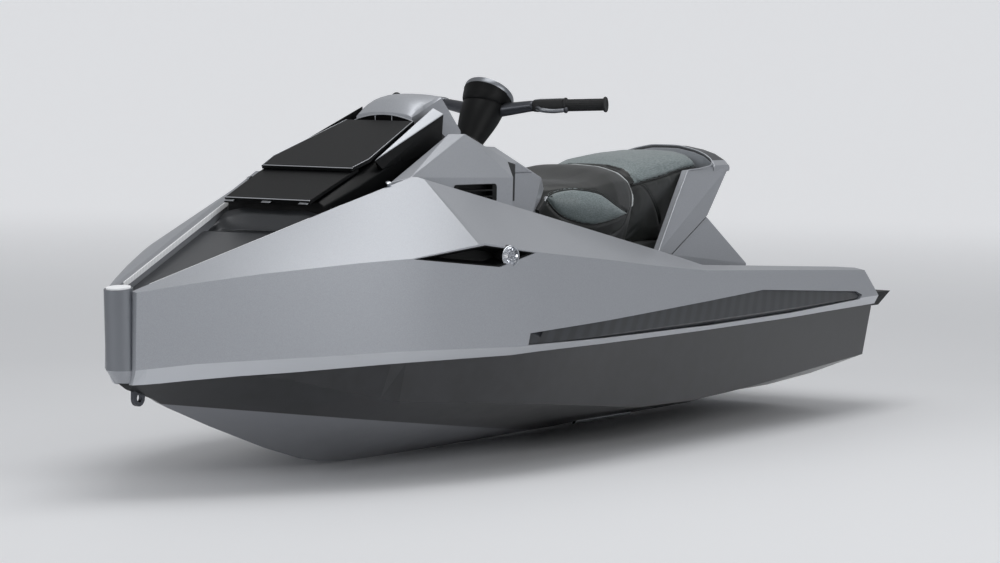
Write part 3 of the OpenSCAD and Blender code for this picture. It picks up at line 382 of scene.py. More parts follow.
# CAD forms: finish, edge radius in mm, fold that counts as an edge, fold shaded as a crease if not 35 degrees
shellSet = {
    "lower_hull": ("hull", 0, 0, 6), "side_panel_port": ("sides", 0, 0, 9), "side_panel_starboard": ("sides", 0, 0, 9),
    "deck": ("deck", 4.0, 30), "nose_cap": ("brushed", 0, 0, 40), "nose_lamp": ("frost", 1.2, 40),
    "hood": ("hood", 3.0, 25), "cowl": ("gloss", 3.0, 20), "cowl_strips": ("bright", 1.5, 25),
    "cowl_cap": ("silver", 1.5, 32, 18), "pod_port": ("silver", 1.2, 25, 5), "pod_starboard": ("silver", 1.2, 25, 5),
    "lid_upper": ("gloss", 2.5, 40), "lid_lower": ("gloss", 2.0, 40), "lid_trims": ("bright", 1.2, 40),
    "console": ("silver", 1.5, 25, 6), "column_collar": ("matte", 1.5, 40), "lamp_recesses": ("gloss", 1.2, 14),
    "side_inserts": ("carbon", 2.0, 30), "seat_base": ("vinyl", 6.0, 25), "tail_frame": ("silver", 2.0, 25, 9),
    "stern_platform": ("matte", 5.0, 30), "stern_eyes": ("steel", 1.5, 30), "bow_eye": ("gunmetal", 1.5, 30),
    "ride_plate": ("cast", 1.5, 40), "pump_duct": ("cast", 1.2, 40), "steering_nozzle": ("cast", 1.5, 40),
    "intake_grate": ("steel", 1.5, 40), "front_tray": ("matte", 2.0, 30), "intake_grilles": ("gloss", 0.8, 40),
    "light_strips": ("opal", 0.8, 40),
}
shells = {}
for name, (finish, radius, sharp, *fold) in shellSet.items():
    mesh = copyOf(name)
    if radius:
        roundEdges(mesh, radius, sharp)
    shell = toObject(mesh, name + "Shell", finish, fold[0] if fold else 35.0)
    shells[name] = place(evenShading(shell) if radius else shell, bodyOf[name], name)

# sides and hull: their bow ends taper in to the foot of the nose, in metres; then each broad facet is shaded as one
bowSet = {"from": 1.59, "under": 0.0865, "start": 1.585, "run": 0.04, "fall": 0.0375, "back": 0.014, "inward": 0.013,
          "hullFrom": 1.57, "hullShare": 0.55, "reachMm": 170, "sideFold": 17.5, "hullFold": 13, "shoulder": 0.35,
          "crease": 0.662}


def sideFamily(face):  # rub band, side, and the shoulder before and behind its crease
    top = face.normal.z > bowSet["shoulder"]
    return face.normal.z < bandTilt, top, top and face.calc_center_median().x > bowSet["crease"]


for name in ("side_panel_port", "side_panel_starboard"):
    for vertex in shells[name].data.vertices:
        if vertex.co.x > bowSet["from"] and vertex.co.z < bowSet["under"]:
            share = min(1.0, (vertex.co.x - bowSet["start"]) / bowSet["run"])
            share *= (bowSet["under"] - vertex.co.z) / bowSet["fall"]
            vertex.co.x -= bowSet["back"] * share
            vertex.co.y -= math.copysign(bowSet["inward"] * share, vertex.co.y)
    flow(shells[name], bowSet["reachMm"], bowSet["sideFold"], sideFamily)
for vertex in shells["lower_hull"].data.vertices:
    if vertex.co.x > bowSet["hullFrom"]:
        vertex.co.y *= bowSet["hullShare"]
flow(shells["lower_hull"], bowSet["reachMm"], bowSet["hullFold"], lambda f: f.normal.y > 0)
recolour(shells["cowl_strips"], "gloss",
         lambda c, n: n.z < 0.25 or n.y * math.copysign(1, c.y) < -0.05)  # only the face is bright
recolour(shells["lid_trims"], "gloss", lambda c, n: n.z < 0.3)  # painted highlight: only the upward faces of the lips keep the bright finish, for the shine along their tops
recolour(shells["nose_cap"], "silver", lambda c, n: c.z < 0.089)  # the silver band runs round the foot
recolour(shells["tail_frame"], "hood", lambda c, n: abs(c.y) < 0.175 and n.z > 0.3)  # dark top of the arch
print("shells rounded:", len(shellSet))


def voxelSkin(mesh, sizeMm, passes):  # even quads all over, then relaxed
    piece = toObject(mesh, "skin", "vinyl", 180.0)
    remesh = piece.modifiers.new("even", "REMESH")
    remesh.mode = "VOXEL"
    remesh.voxel_size = sizeMm / 1000
    relax = piece.modifiers.new("relax", "SMOOTH")
    relax.factor = 0.5
    relax.iterations = passes
    return settle(piece)


clothSet = {"mass": 0.35, "stretch": 80.0, "bend": 12.0, "frames": 20}  # stiff marine vinyl over foam


def stuff(piece, holdZ, pressure, capMm):  # pressed outwards, held along its foot
    rest = [v.co.copy() for v in piece.data.vertices]
    held = piece.vertex_groups.new(name="held")
    held.add([i for i, p in enumerate(rest) if p.z < holdZ], 1.0, "REPLACE")
    cloth = piece.modifiers.new("cover", "CLOTH")
    cover = cloth.settings
    cover.use_pressure = True
    cover.uniform_pressure_force = pressure
    cover.effector_weights.gravity = 0.0
    cover.vertex_group_mass = "held"
    cover.mass = clothSet["mass"]
    cover.tension_stiffness = cover.compression_stiffness = clothSet["stretch"]
    cover.bending_stiffness = clothSet["bend"]
    cloth.point_cache.frame_start, cloth.point_cache.frame_end = 1, clothSet["frames"]
    for step in range(1, clothSet["frames"] + 1):
        bpy.context.scene.frame_set(step)
    settle(piece)
    bpy.context.scene.frame_set(1)
    for vertex, old in zip(piece.data.vertices, rest):
        move = vertex.co - old
        if move.length > capMm / 1000:
            vertex.co = old + move.normalized() * capMm / 1000


def nearLine(point, line):  # distance from a point to a run of points
    best = 1e9
    for a, b in zip(line[:-1], line[1:]):
        span = b - a
        t = max(0.0, min(1.0, (point - a).dot(span) / max(span.length_squared, 1e-12)))
        best = min(best, (point - a - span * t).length)
    return best


def crease(piece, lines, depthMm, widthMm):  # seams pressed into the cover along lines, on both sides
    normals = [v.normal.copy() for v in piece.data.vertices]
    for vertex, normal in zip(piece.data.vertices, normals):
        point = Vector((vertex.co.x, abs(vertex.co.y), vertex.co.z))
        for line in lines:
            gap = nearLine(point, line)
            if gap < widthMm * 0.003:
                vertex.co -= normal * depthMm / 1000 * math.exp(-(gap * 1000 / widthMm) ** 2)


def onSkin(piece, guide, rise=0.0):  # guide points moved to the cover's surface
    tree = BVHTree.FromObject(piece, bpy.context.evaluated_depsgraph_get())
    hits = [tree.find_nearest(point) for point in guide]
    return [spot + normal * rise for spot, normal, *_ in hits]


def eased(points, passes=8):  # a run of points with its ripples averaged out
    for _ in range(passes):
        between = [(a + b + b + c) / 4 for a, b, c in zip(points, points[1:], points[2:])]
        points = points[:1] + between + points[-1:]
    return points


def densify(points, stepMm):  # a smooth run of points through the given ones
    dense = []
    for i in range(len(points) - 1):
        p0, p1, p2, p3 = points[max(i - 1, 0)], points[i], points[i + 1], points[min(i + 2, len(points) - 1)]
        count = max(2, int((p2 - p1).length * 1000 / stepMm))
        for k in range(count):
            t = k / count
            dense.append(0.5 * (2 * p1 + (p2 - p0) * t + (2 * p0 - 5 * p1 + 4 * p2 - p3) * t * t
                                + (3 * p1 - p0 - 3 * p2 + p3) * t * t * t))
    return dense + [points[-1]]


def tube(name, points, radiusMm, finish):  # round cord along points
    curve = bpy.data.curves.new(name, "CURVE")
    curve.dimensions = "3D"
    curve.bevel_depth = radiusMm / 1000
    curve.bevel_resolution = 2
    curve.use_fill_caps = True
    line = curve.splines.new("POLY")
    line.points.add(len(points) - 1)
    for target, point in zip(line.points, points):
        target.co = (*point, 1.0)
    holder = shown(name, curve)
    data = bpy.data.meshes.new_from_object(holder.evaluated_get(bpy.context.evaluated_depsgraph_get()))
    bpy.data.objects.remove(holder)
    data.materials.clear()
    data.materials.append(finishes[finish])
    data.shade_smooth()
    return shown(name, data)


def joined(name, pieces):  # several meshes as one piece
    mesh = bmesh.new()
    slots = []
    for piece in pieces:
        start = len(mesh.faces)
        mesh.from_mesh(piece.data)
        mesh.faces.ensure_lookup_table()
        for face in mesh.faces[start:]:
            face.material_index += len(slots)
        slots += list(piece.data.materials)
        bpy.data.objects.remove(piece)
    data = bpy.data.meshes.new(name)
    mesh.to_mesh(data)
    mesh.free()
    for material in slots:
        data.materials.append(material)
    return shown(name, data)


def mirrorY(points):
    return [Vector((p.x, -p.y, p.z)) for p in points]


def twinTubes(name, points, radiusMm, finish):  # a cord and its mirror image
    return [tube(name, points, radiusMm, finish), tube(name, mirrorY(points), radiusMm, finish)]


def runs(rows):  # rows of millimetres to points in metres
    return [Vector(row) / 1000 for row in rows]


def shifted(points, *move):  # a run of points moved by metres
    return [p + Vector(move) for p in points]


def geoGroup(name, **sockets):  # empty geometry node group with named inputs
    group = bpy.data.node_groups.new(name, "GeometryNodeTree")
    group.interface.new_socket(name="Geometry", in_out="INPUT", socket_type="NodeSocketGeometry")
    ids = {key: group.interface.new_socket(name=key, in_out="INPUT", socket_type="NodeSocket" + kind).identifier
           for key, kind in sockets.items()}
    group.interface.new_socket(name="Geometry", in_out="OUTPUT", socket_type="NodeSocketGeometry")
    return group, group.nodes.new("NodeGroupInput").outputs, group.nodes.new("NodeGroupOutput"), ids


def closeGroup(group, sink, made, finish):  # what was made is realised, given its material and sent out
    real = addNode(group, "GeometryNodeRealizeInstances", Geometry=made)
    dyed = addNode(group, "GeometryNodeSetMaterial", Geometry=real.outputs["Geometry"], Material=finish)
    group.links.new(dyed.outputs["Geometry"], sink.inputs["Geometry"])


def grown(data, maker, **values):  # a mesh run through a node group with these inputs
    group, ids = maker
    piece = shown(data.name, data)
    tree = piece.modifiers.new("tree", "NODES")
    tree.node_group = group
    for key, value in values.items():
        tree[ids[key]] = value
    return settle(piece)


def lineMesh(name, lines):  # runs of points as loose edges
    edges, start = [], 0
    for line in lines:
        edges += [(start + i, start + i + 1) for i in range(len(line) - 1)]
        start += len(line)
    data = bpy.data.meshes.new(name)
    data.from_pydata([tuple(p) for line in lines for p in line], edges, [])
    return data


def stitchGroup():  # thread along a line: one short rounded stitch per step
    group, given, sink, ids = geoGroup("stitches", Step="Float", Length="Float", Radius="Float", Thread="Material")
    curve = addNode(group, "GeometryNodeMeshToCurve", Mesh=given["Geometry"])
    marks = addNode(group, "GeometryNodeCurveToPoints", {"mode": "LENGTH"}, Curve=curve.outputs["Curve"],
                    Length=given["Step"])
    bead = addNode(group, "GeometryNodeMeshUVSphere", {"Segments": 6, "Rings": 5, "Radius": 1.0})
    size = addNode(group, "ShaderNodeCombineXYZ", X=given["Radius"], Y=given["Radius"], Z=given["Length"])
    aim = addNode(group, "FunctionNodeAlignRotationToVector", {"axis": "Z"}, Vector=marks.outputs["Tangent"])
    sewn = addNode(group, "GeometryNodeInstanceOnPoints", Points=marks.outputs["Points"], Instance=bead.outputs["Mesh"],
                   Rotation=aim.outputs["Rotation"], Scale=size.outputs["Vector"])
    closeGroup(group, sink, sewn.outputs["Instances"], given["Thread"])
    return group, ids


stitchMaker = stitchGroup()
stitchSet = {"step": 5.5, "length": 1.9, "radius": 0.55, "rise": 0.0003}  # mm; rise in metres


def stitches(name, lines):  # thread rows along each line
    return grown(lineMesh(name, lines), stitchMaker, Step=stitchSet["step"] / 1000, Length=stitchSet["length"] / 1000,
                 Radius=stitchSet["radius"] / 1000, Thread=finishes["thread"])


# saddle: bolstered sides between curved seams, piped crest; outlines, seams and cords in mm, the rest in metres
saddleSet = {
    "voxel": 5.0, "relax": 14, "pressure": 1.0, "cap": 4.0, "hold": 0.352,
    "lensTop": [(-267, 129, 490), (-285, 142, 510), (-317, 163, 521), (-353, 186, 524), (-402, 206, 516),
                (-465, 225, 494), (-538, 228, 464), (-621, 208, 439)],
    "lensLow": [(-267, 129, 490), (-278, 144, 463), (-305, 161, 437), (-340, 184, 420), (-408, 205, 408),
                (-489, 213, 413), (-564, 214, 426), (-621, 208, 439)],
    "foot": [(-687, 184, 500), (-650, 204, 452), (-640, 202, 425), (-626, 196, 398), (-598, 195, 381),
             (-547, 200, 372)],
    "crest": [(-668, 0, 590), (-672, 60, 586), (-682, 105, 572), (-695, 140, 548), (-706, 165, 515), (-700, 178, 480),
              (-688, 186, 458)],
    "frontDrop": 0.036, "dropFrom": -0.6, "dropTo": -0.4, "dropFoot": 0.47, "dropHigh": 0.11,
    "sideFrom": 0.09, "swell": 0.011, "margin": 0.003, "seam": 4.5, "seamStep": 6,
    "cordGap": 0.007, "cordRise": 0.0026, "cord": 2.4, "weltRise": 0.0012, "welt": 2.0, "stitchGap": 0.007,
}
saddleSkin = voxelSkin(copyOf("saddle"), saddleSet["voxel"], saddleSet["relax"])
stuff(saddleSkin, saddleSet["hold"], saddleSet["pressure"], saddleSet["cap"])
for vertex in saddleSkin.data.vertices:  # the top dips towards the console
    share = min(1.0, max(0.0, (vertex.co.x - saddleSet["dropFrom"]) / (saddleSet["dropTo"] - saddleSet["dropFrom"])))
    high = min(1.0, max(0.0, (vertex.co.z - saddleSet["dropFoot"]) / saddleSet["dropHigh"]))
    vertex.co.z -= saddleSet["frontDrop"] * share * share * (3 - 2 * share) * high * high
lensTop, lensLow, crest, footSeam = (densify(runs(saddleSet[key]), saddleSet["seamStep"])
                                     for key in ("lensTop", "lensLow", "crest", "foot"))


def lensSpan(x):  # low and high edge of the bolster at this station, if it is there
    if lensTop[-1].x < x < lensTop[0].x:
        return [min(line, key=lambda p: abs(p.x - x)).z for line in (lensLow, lensTop)]


def onBolster(c, n):  # faces on the side, a little inside both seams
    span = lensSpan(c.x)
    margin = saddleSet["margin"]
    return abs(c.y) > saddleSet["sideFrom"] and span and span[0] + margin < c.z < span[1] - margin


for vertex in saddleSkin.data.vertices:  # the bolster swells between its two seams
    span = lensSpan(vertex.co.x)
    if span and abs(vertex.co.y) >= saddleSet["sideFrom"] and span[0] < vertex.co.z < span[1]:
        share = (vertex.co.z - span[0]) / (span[1] - span[0])
        vertex.co.y += math.copysign(saddleSet["swell"] * math.sin(math.pi * share) ** 0.8, vertex.co.y)
seams = [onSkin(saddleSkin, line) for line in (lensTop, lensLow, crest, footSeam)]
crease(saddleSkin, seams, saddleSet["seam"], saddleSet["seam"])
recolour(saddleSkin, "pearl", onBolster)  # the bolsters are in the lighter vinyl, partly a painted highlight on their swell
saddleSkin.name = "saddleCover"
saddleSkin.data.shade_smooth()
place(saddleSkin, "craft", "saddle")
piping, welts = [], []
for offset in (-saddleSet["cordGap"], saddleSet["cordGap"]):  # twin cords either side of the seam
    cord = onSkin(saddleSkin, shifted(crest, offset, 0, 0), saddleSet["cordRise"])
    piping += twinTubes("cord", cord, saddleSet["cord"], "piping")
place(joined("saddlePiping", piping), "craft")
for seam in (lensTop, lensLow):  # dark welt round each bolster
    welt = eased(onSkin(saddleSkin, seam, saddleSet["weltRise"]))
    welts += twinTubes("welt", welt, saddleSet["welt"], "vinyl")
place(joined("saddleWelts", welts), "craft")
seamTop = onSkin(saddleSkin, shifted(lensTop, 0, 0, saddleSet["stitchGap"]), stitchSet["rise"])
place(stitches("saddleStitches", [seamTop, mirrorY(seamTop)]), "craft")
print("saddle stuffed")

# rear seat: crowned top, folded sides, one curved seam down each side; units as for the saddle
rearSet = {
    "voxel": 5.0, "relax": 10, "pressure": 1.0, "cap": 3.5, "hold": 0.352, "seamStep": 6,
    "fold": [(-728, 171, 523), (-782, 176, 532), (-887, 173, 544), (-1001, 167, 559), (-1097, 159, 570),
             (-1180, 148, 575), (-1222, 130, 575)],
    "side": [(-732, 68, 583), (-729, 110, 575), (-730, 149, 559), (-750, 171, 542), (-781, 177, 524), (-831, 172, 494),
             (-875, 165, 463), (-909, 159, 432), (-933, 154, 401)],
    "foldDepth": 8.0, "foldWidth": 7.0, "seam": 4.5, "pearlFrom": -0.738, "pearlRise": 0.002, "pearlEdge": 0.17,
    "pearlFall": 0.3, "weltRise": 0.0022, "welt": 2.2,
    "foldStitch": (0, -0.004, 0.007), "sideStitch": (-0.007, 0, 0.002),
}
rearSkin = voxelSkin(copyOf("rear_seat"), rearSet["voxel"], rearSet["relax"])
stuff(rearSkin, rearSet["hold"], rearSet["pressure"], rearSet["cap"])
foldLine, sideLine = (densify(runs(rearSet[key]), rearSet["seamStep"]) for key in ("fold", "side"))
crease(rearSkin, [onSkin(rearSkin, foldLine)], rearSet["foldDepth"], rearSet["foldWidth"])
crease(rearSkin, [onSkin(rearSkin, sideLine)], rearSet["seam"], rearSet["seam"])


def onCrown(c, n):  # above the fold, which is lower where the sides stand wide
    line = min(foldLine, key=lambda p: abs(p.x - c.x)).z + rearSet["pearlRise"]
    return c.z > line - rearSet["pearlFall"] * max(0.0, abs(c.y) - rearSet["pearlEdge"]) and c.x < rearSet["pearlFrom"]


# the crown is in the lighter vinyl, partly a painted highlight on the top
recolour(rearSkin, "pearl", onCrown)
rearSkin.name = "rearCover"
rearSkin.data.shade_smooth()
place(rearSkin, "craft", "rear_seat")
foldWelt = eased(onSkin(rearSkin, foldLine, rearSet["weltRise"]))
place(joined("rearWelts", twinTubes("welt", foldWelt, rearSet["welt"], "vinyl")), "craft")
foldStitch = onSkin(rearSkin, shifted(foldLine, *rearSet["foldStitch"]), stitchSet["rise"])
sideStitch = onSkin(rearSkin, shifted(sideLine, *rearSet["sideStitch"]), stitchSet["rise"])
place(stitches("rearStitches", [foldStitch, mirrorY(foldStitch), sideStitch, mirrorY(sideStitch)]), "craft")
print("rear seat stuffed")

# bright strip along the inner edge of the tail frame, in mm
trimSet = {"radius": 2.4, "step": 8,
           "line": [(-1246, 0, 643), (-1246, 50, 642), (-1245, 85, 636), (-1243, 120, 628), (-1239, 152, 617),
                    (-1231, 181, 601), (-1214, 196, 587), (-1190, 199, 579), (-1160, 197, 575), (-1130, 195, 571),
                    (-1095, 193, 569), (-1066, 191, 567), (-1044, 193, 556), (-1020, 198, 535), (-985, 204, 504),
                    (-915, 217, 441), (-840, 232, 374), (-772, 246, 314)]}
tailTrim = densify(runs(trimSet["line"]), trimSet["step"])
place(joined("tailTrim", twinTubes("strip", tailTrim, trimSet["radius"], "bright")), "craft")


def hoop(centre, axis, radius, count=48, front=None, lean=0.0, flat=1.0):
    # points round an axis; lean tips the ring, flat squeezes it
    axis = axis.normalized()
    side = (front or axis.orthogonal()).copy()
    side = (side - axis * side.dot(axis)).normalized()
    other = axis.cross(side)
    turns = [2 * math.pi * i / count for i in range(count)]
    return [centre + side * math.cos(a) * radius + other * math.sin(a) * radius * flat + axis * lean * math.cos(a)
            for a in turns]


def ringLoft(name, rings, finish, ends=True, smooth=38.0):  # skin over rings of equal count
    mesh = bmesh.new()
    rows = [[mesh.verts.new(p) for p in ring] for ring in rings]
    count = len(rows[0])
    if ends is False:  # closed hoop; with None it stays open
        rows.append(rows[0])
    for low, high in zip(rows[:-1], rows[1:]):
        for i in range(count):
            mesh.faces.new((low[i], low[(i + 1) % count], high[(i + 1) % count], high[i]))
    if ends:
        mesh.faces.new(rows[0])
        mesh.faces.new(rows[-1])
    bmesh.ops.recalc_face_normals(mesh, faces=mesh.faces)
    return toObject(mesh, name, finish, smooth)


def turned(name, centre, axis, rows, finish, ends=True, count=48):  # lathe work: radius and distance along, in mm
    axis = axis.normalized()
    rings = [hoop(centre + axis * along / 1000, axis, radius / 1000, count) for radius, along in rows]
    return ringLoft(name, rings, finish, ends)


def mirrored(piece, name):  # the same piece on the other side
    data = piece.data.copy()
    for vertex in data.vertices:
        vertex.co.y = -vertex.co.y
    data.flip_normals()
    return shown(name, data)


def bothSides(name, pieces):  # pieces and their mirror images as one
    return joined(name, pieces + [mirrored(piece, piece.name + "Far") for piece in pieces])


def blockAlong(name, start, end, rows, finish, corner):  # rounded box section swept from start to end
    # rows: share of the length, half width, half height and rise, in mm
    along = (end - start).normalized()
    side = along.cross(upward).normalized()
    rise = side.cross(along).normalized()
    rings = []
    for share, halfW, halfH, lift in rows:
        middle = start + (end - start) * share + rise * lift / 1000
        curve = corner * min(halfW, halfH)
        ring = []
        for cornerTurn, (sx, sz) in enumerate(((1, 1), (-1, 1), (-1, -1), (1, -1))):
            for k in range(4):
                a = math.pi / 2 * (cornerTurn + k / 3)
                ring.append(middle + side * (sx * (halfW - curve) + curve * math.cos(a)) / 1000
                            + rise * (sz * (halfH - curve) + curve * math.sin(a)) / 1000)
        rings.append(ring)
    return ringLoft(name, rings, finish, True, 40.0)


def padGroup():  # raised pads in rows round a cylinder
    group, given, sink, ids = geoGroup("gripPads", Around="Int", Along="Int", Radius="Float", Length="Float",
                                       Pad="Vector", Rubber="Material")
    core = addNode(group, "GeometryNodeMeshCylinder", {"fill_type": "NONE"}, Vertices=given["Around"],
                   Side_Segments=given["Along"], Radius=given["Radius"], Depth=given["Length"])
    facing = addNode(group, "GeometryNodeInputNormal")
    aim = addNode(group, "FunctionNodeAlignRotationToVector", {"axis": "X"}, Vector=facing.outputs["Normal"])
    pad = addNode(group, "GeometryNodeMeshIcoSphere", {"Radius": 1.0, "Subdivisions": 1})
    laid = addNode(group, "GeometryNodeInstanceOnPoints", Points=core.outputs["Mesh"], Instance=pad.outputs["Mesh"],
                   Rotation=aim.outputs["Rotation"], Scale=given["Pad"])
    closeGroup(group, sink, laid.outputs["Instances"], given["Rubber"])
    return group, ids


def ribGroup():  # a flat-topped rib along each line
    group, given, sink, ids = geoGroup("ribs", Width="Float", Height="Float", Foam="Material")
    path = addNode(group, "GeometryNodeMeshToCurve", Mesh=given["Geometry"])
    section = addNode(group, "GeometryNodeCurvePrimitiveQuadrilateral", Width=given["Width"], Height=given["Height"])
    body = addNode(group, "GeometryNodeCurveToMesh", {"Fill Caps": True}, Curve=path.outputs["Curve"],
                   Profile_Curve=section.outputs["Curve"])
    closeGroup(group, sink, body.outputs["Mesh"], given["Foam"])
    return group, ids


def screwGroup():  # button-head screws that face along their own aim
    group, given, sink, ids = geoGroup("screws", Size="Float", Steel="Material")
    head = addNode(group, "GeometryNodeMeshCone", {"Vertices": 16, "Side Segments": 3, "Radius Top": 0.62,
                                                   "Radius Bottom": 1.0, "Depth": 0.5})
    socket = addNode(group, "GeometryNodeMeshCone", {"Vertices": 6, "Radius Top": 0.42, "Radius Bottom": 0.3,
                                                     "Depth": 0.06})
    raised = addNode(group, "GeometryNodeTransform", {"Translation": (0.0, 0.0, 0.5)}, Geometry=socket.outputs["Mesh"])
    whole = addNode(group, "GeometryNodeJoinGeometry", Geometry=head.outputs["Mesh"])
    group.links.new(raised.outputs["Geometry"], whole.inputs["Geometry"])
    facing = addNode(group, "GeometryNodeInputNamedAttribute", {"data_type": "FLOAT_VECTOR", "Name": "aim"})
    aim = addNode(group, "FunctionNodeAlignRotationToVector", {"axis": "Z"}, Vector=facing.outputs["Attribute"])
    size = addNode(group, "ShaderNodeCombineXYZ", X=given["Size"], Y=given["Size"], Z=given["Size"])
    driven = addNode(group, "GeometryNodeInstanceOnPoints", Points=given["Geometry"],
                     Instance=whole.outputs["Geometry"], Rotation=aim.outputs["Rotation"], Scale=size.outputs["Vector"])
    closeGroup(group, sink, driven.outputs["Instances"], given["Steel"])
    return group, ids


padMaker, ribMaker, screwMaker = padGroup(), ribGroup(), screwGroup()


def gripPads(name, where, padSet):  # tread of a grip, set in its place
    piece = grown(bpy.data.meshes.new(name), padMaker, Around=padSet["around"], Along=padSet["along"],
                  Radius=padSet["radius"] / 1000, Length=padSet["length"] / 1000,
                  Pad=[v / 1000 for v in padSet["pad"]], Rubber=finishes["rubber"])
    piece.data.transform(where)
    return piece


def ribs(name, lines, widthMm, heightMm, finish):
    return grown(lineMesh(name, lines), ribMaker, Width=widthMm / 1000, Height=heightMm / 1000, Foam=finishes[finish])


def screws(name, spots, sizeMm):  # spots: place in mm and the way each head faces
    data = bpy.data.meshes.new(name)
    data.from_pydata([tuple(Vector(spot) / 1000) for spot, _ in spots], [], [])
    aims = data.attributes.new("aim", "FLOAT_VECTOR", "POINT")
    for value, (_, aim) in zip(aims.data, spots):
        value.vector = Vector(aim).normalized()
    return grown(data, screwMaker, Size=sizeMm / 1000, Steel=finishes["steel"])


upward = Vector((0, 0, 1))
# steering column and display head: the head's lip runs almost level while its face leans back; mm and degrees
columnSet = {
    "centre": (-122, 0, 796), "lean": 38.0, "around": 64,
    "column": [(40.5, -177.5), (45, -152), (51, -124), (57, -96), (61.5, -70), (64, -44), (65, -22), (62, -13)],
    "lip": -26, "lipFall": -22, "rim": 4,
    "head": [(56, 4, 1), (66, 0, 1), (68.5, 3, 1), (70.5, 7, 0.94), (74, 16, 0.6), (77.4, 29.6, 0.1), (78.6, 31, 0.04),
             (78.8, 43, 0), (77.6, 46.4, 0), (74, 48.2, 0), (68.5, 48.4, 0), (66.6, 46.5, 0), (66, 44, 0)],
    "glass": [(65.4, 17.6), (65.6, 21.2), (64.4, 22.3), (20, 22.6), (1, 22.6)],
    "ticks": 37, "tickFrom": -40, "tickSweep": 260, "tickRise": 22.8, "tick": (47, 54), "longTick": 42, "longEvery": 6,
    "tickWidth": 1.2, "tickHeight": 0.5,
}
tilt = math.radians(columnSet["lean"])
columnAxis = Vector((-math.sin(tilt), 0, math.cos(tilt)))
columnFront = Vector((math.cos(tilt), 0, math.sin(tilt)))
headCentre = Vector(columnSet["centre"]) / 1000
place(turned("columnCover", headCentre, columnAxis, columnSet["column"], "gloss", True, columnSet["around"]),
      "steering", "steering_column")
headRings = [hoop(headCentre + columnAxis * (columnSet["lip"] + along) / 1000, columnAxis, radius / 1000,
                  columnSet["around"], columnFront, columnSet["lipFall"] * share / 1000)
             for radius, along, share in columnSet["head"]]
displayHead = ringLoft("displayDrum", headRings, "gloss")
recolour(displayHead, "brushed", lambda c, n: (c - headCentre).dot(columnAxis) > columnSet["rim"] / 1000)
place(displayHead, "steering", "display_head")
place(turned("displayCover", headCentre, columnAxis, columnSet["glass"], "screen", True, columnSet["around"]),
      "steering", "display_glass")
dialTicks = []
for i in range(columnSet["ticks"]):  # dial marks under the cover glass
    a = math.radians(columnSet["tickFrom"] + i * columnSet["tickSweep"] / (columnSet["ticks"] - 1))
    out = columnFront * math.sin(a) + Vector((0, 1, 0)) * math.cos(a)
    inner, outer = columnSet["tick"]
    inner = inner if i % columnSet["longEvery"] else columnSet["longTick"]
    dialTicks.append([headCentre + columnAxis * columnSet["tickRise"] / 1000 + out * r / 1000 for r in (inner, outer)])
place(ribs("dialMarks", dialTicks, columnSet["tickWidth"], columnSet["tickHeight"], "dial"), "steering")
print("display built")

# handlebar: tapered arms, then the bar out to the grips; rings as (share of the arm or mm past the bend, radius in mm)
barSet = {"middle": (-104, 0, 752), "bend": (-132, 150, 774.4), "end": (-188, 382, 784), "around": 32,
          "arm": [(0.36, 20.5), (0.55, 19.5), (0.8, 17.8), (0.97, 16.8)],
          "bar": [(2, 16.6), (6, 16.4), (7.5, 15.6), (8, 11.0), (236, 11.0)], "blendTo": 4}
barMid, barBend, barEnd = (Vector(barSet[k]) / 1000 for k in ("middle", "bend", "end"))
barDir = (barEnd - barBend).normalized()
armDir = (barBend - barMid).normalized()
blendDir = (armDir + barDir).normalized()
armRings = [hoop(barMid.lerp(barBend, share), armDir, radius / 1000, barSet["around"], upward)
            for share, radius in barSet["arm"]]
armRings += [hoop(barBend + barDir * along / 1000, blendDir if along < barSet["blendTo"] else barDir, radius / 1000,
                  barSet["around"], upward) for along, radius in barSet["bar"]]
place(bothSides("barTube", [ringLoft("arm", armRings, "gunmetal")]), "steering", "handlebar")

# grips: flanged rubber sleeves with a pad tread, in mm
gripSet = {"length": 132.0, "around": 40, "treadAt": 66,
           "rows": [(11.2, 0.4), (22.4, 0.4), (23.6, 1.6), (23.6, 5.4), (22.2, 7), (18.6, 8), (17.6, 11), (17.6, 121),
                    (18.8, 124.4), (22.4, 125.4), (23.6, 127), (23.6, 130.4), (22.4, 131.6), (14, 132), (12, 130.6),
                    (1, 130.2)],
           "pads": {"around": 18, "along": 22, "radius": 17.7, "length": 106.0, "pad": (1.1, 2.3, 2.5)}}
gripStart = barEnd - barDir * gripSet["length"] / 1000
gripTurn = barDir.to_track_quat("Z", "Y").to_matrix().to_4x4()
gripPlace = Matrix.Translation(gripStart + barDir * gripSet["treadAt"] / 1000) @ gripTurn
place(bothSides("gripRubbers", [turned("grip", gripStart, barDir, gripSet["rows"], "rubber", True, gripSet["around"]),
                                gripPads("gripTread", gripPlace, gripSet["pads"])]), "steering", "grips")

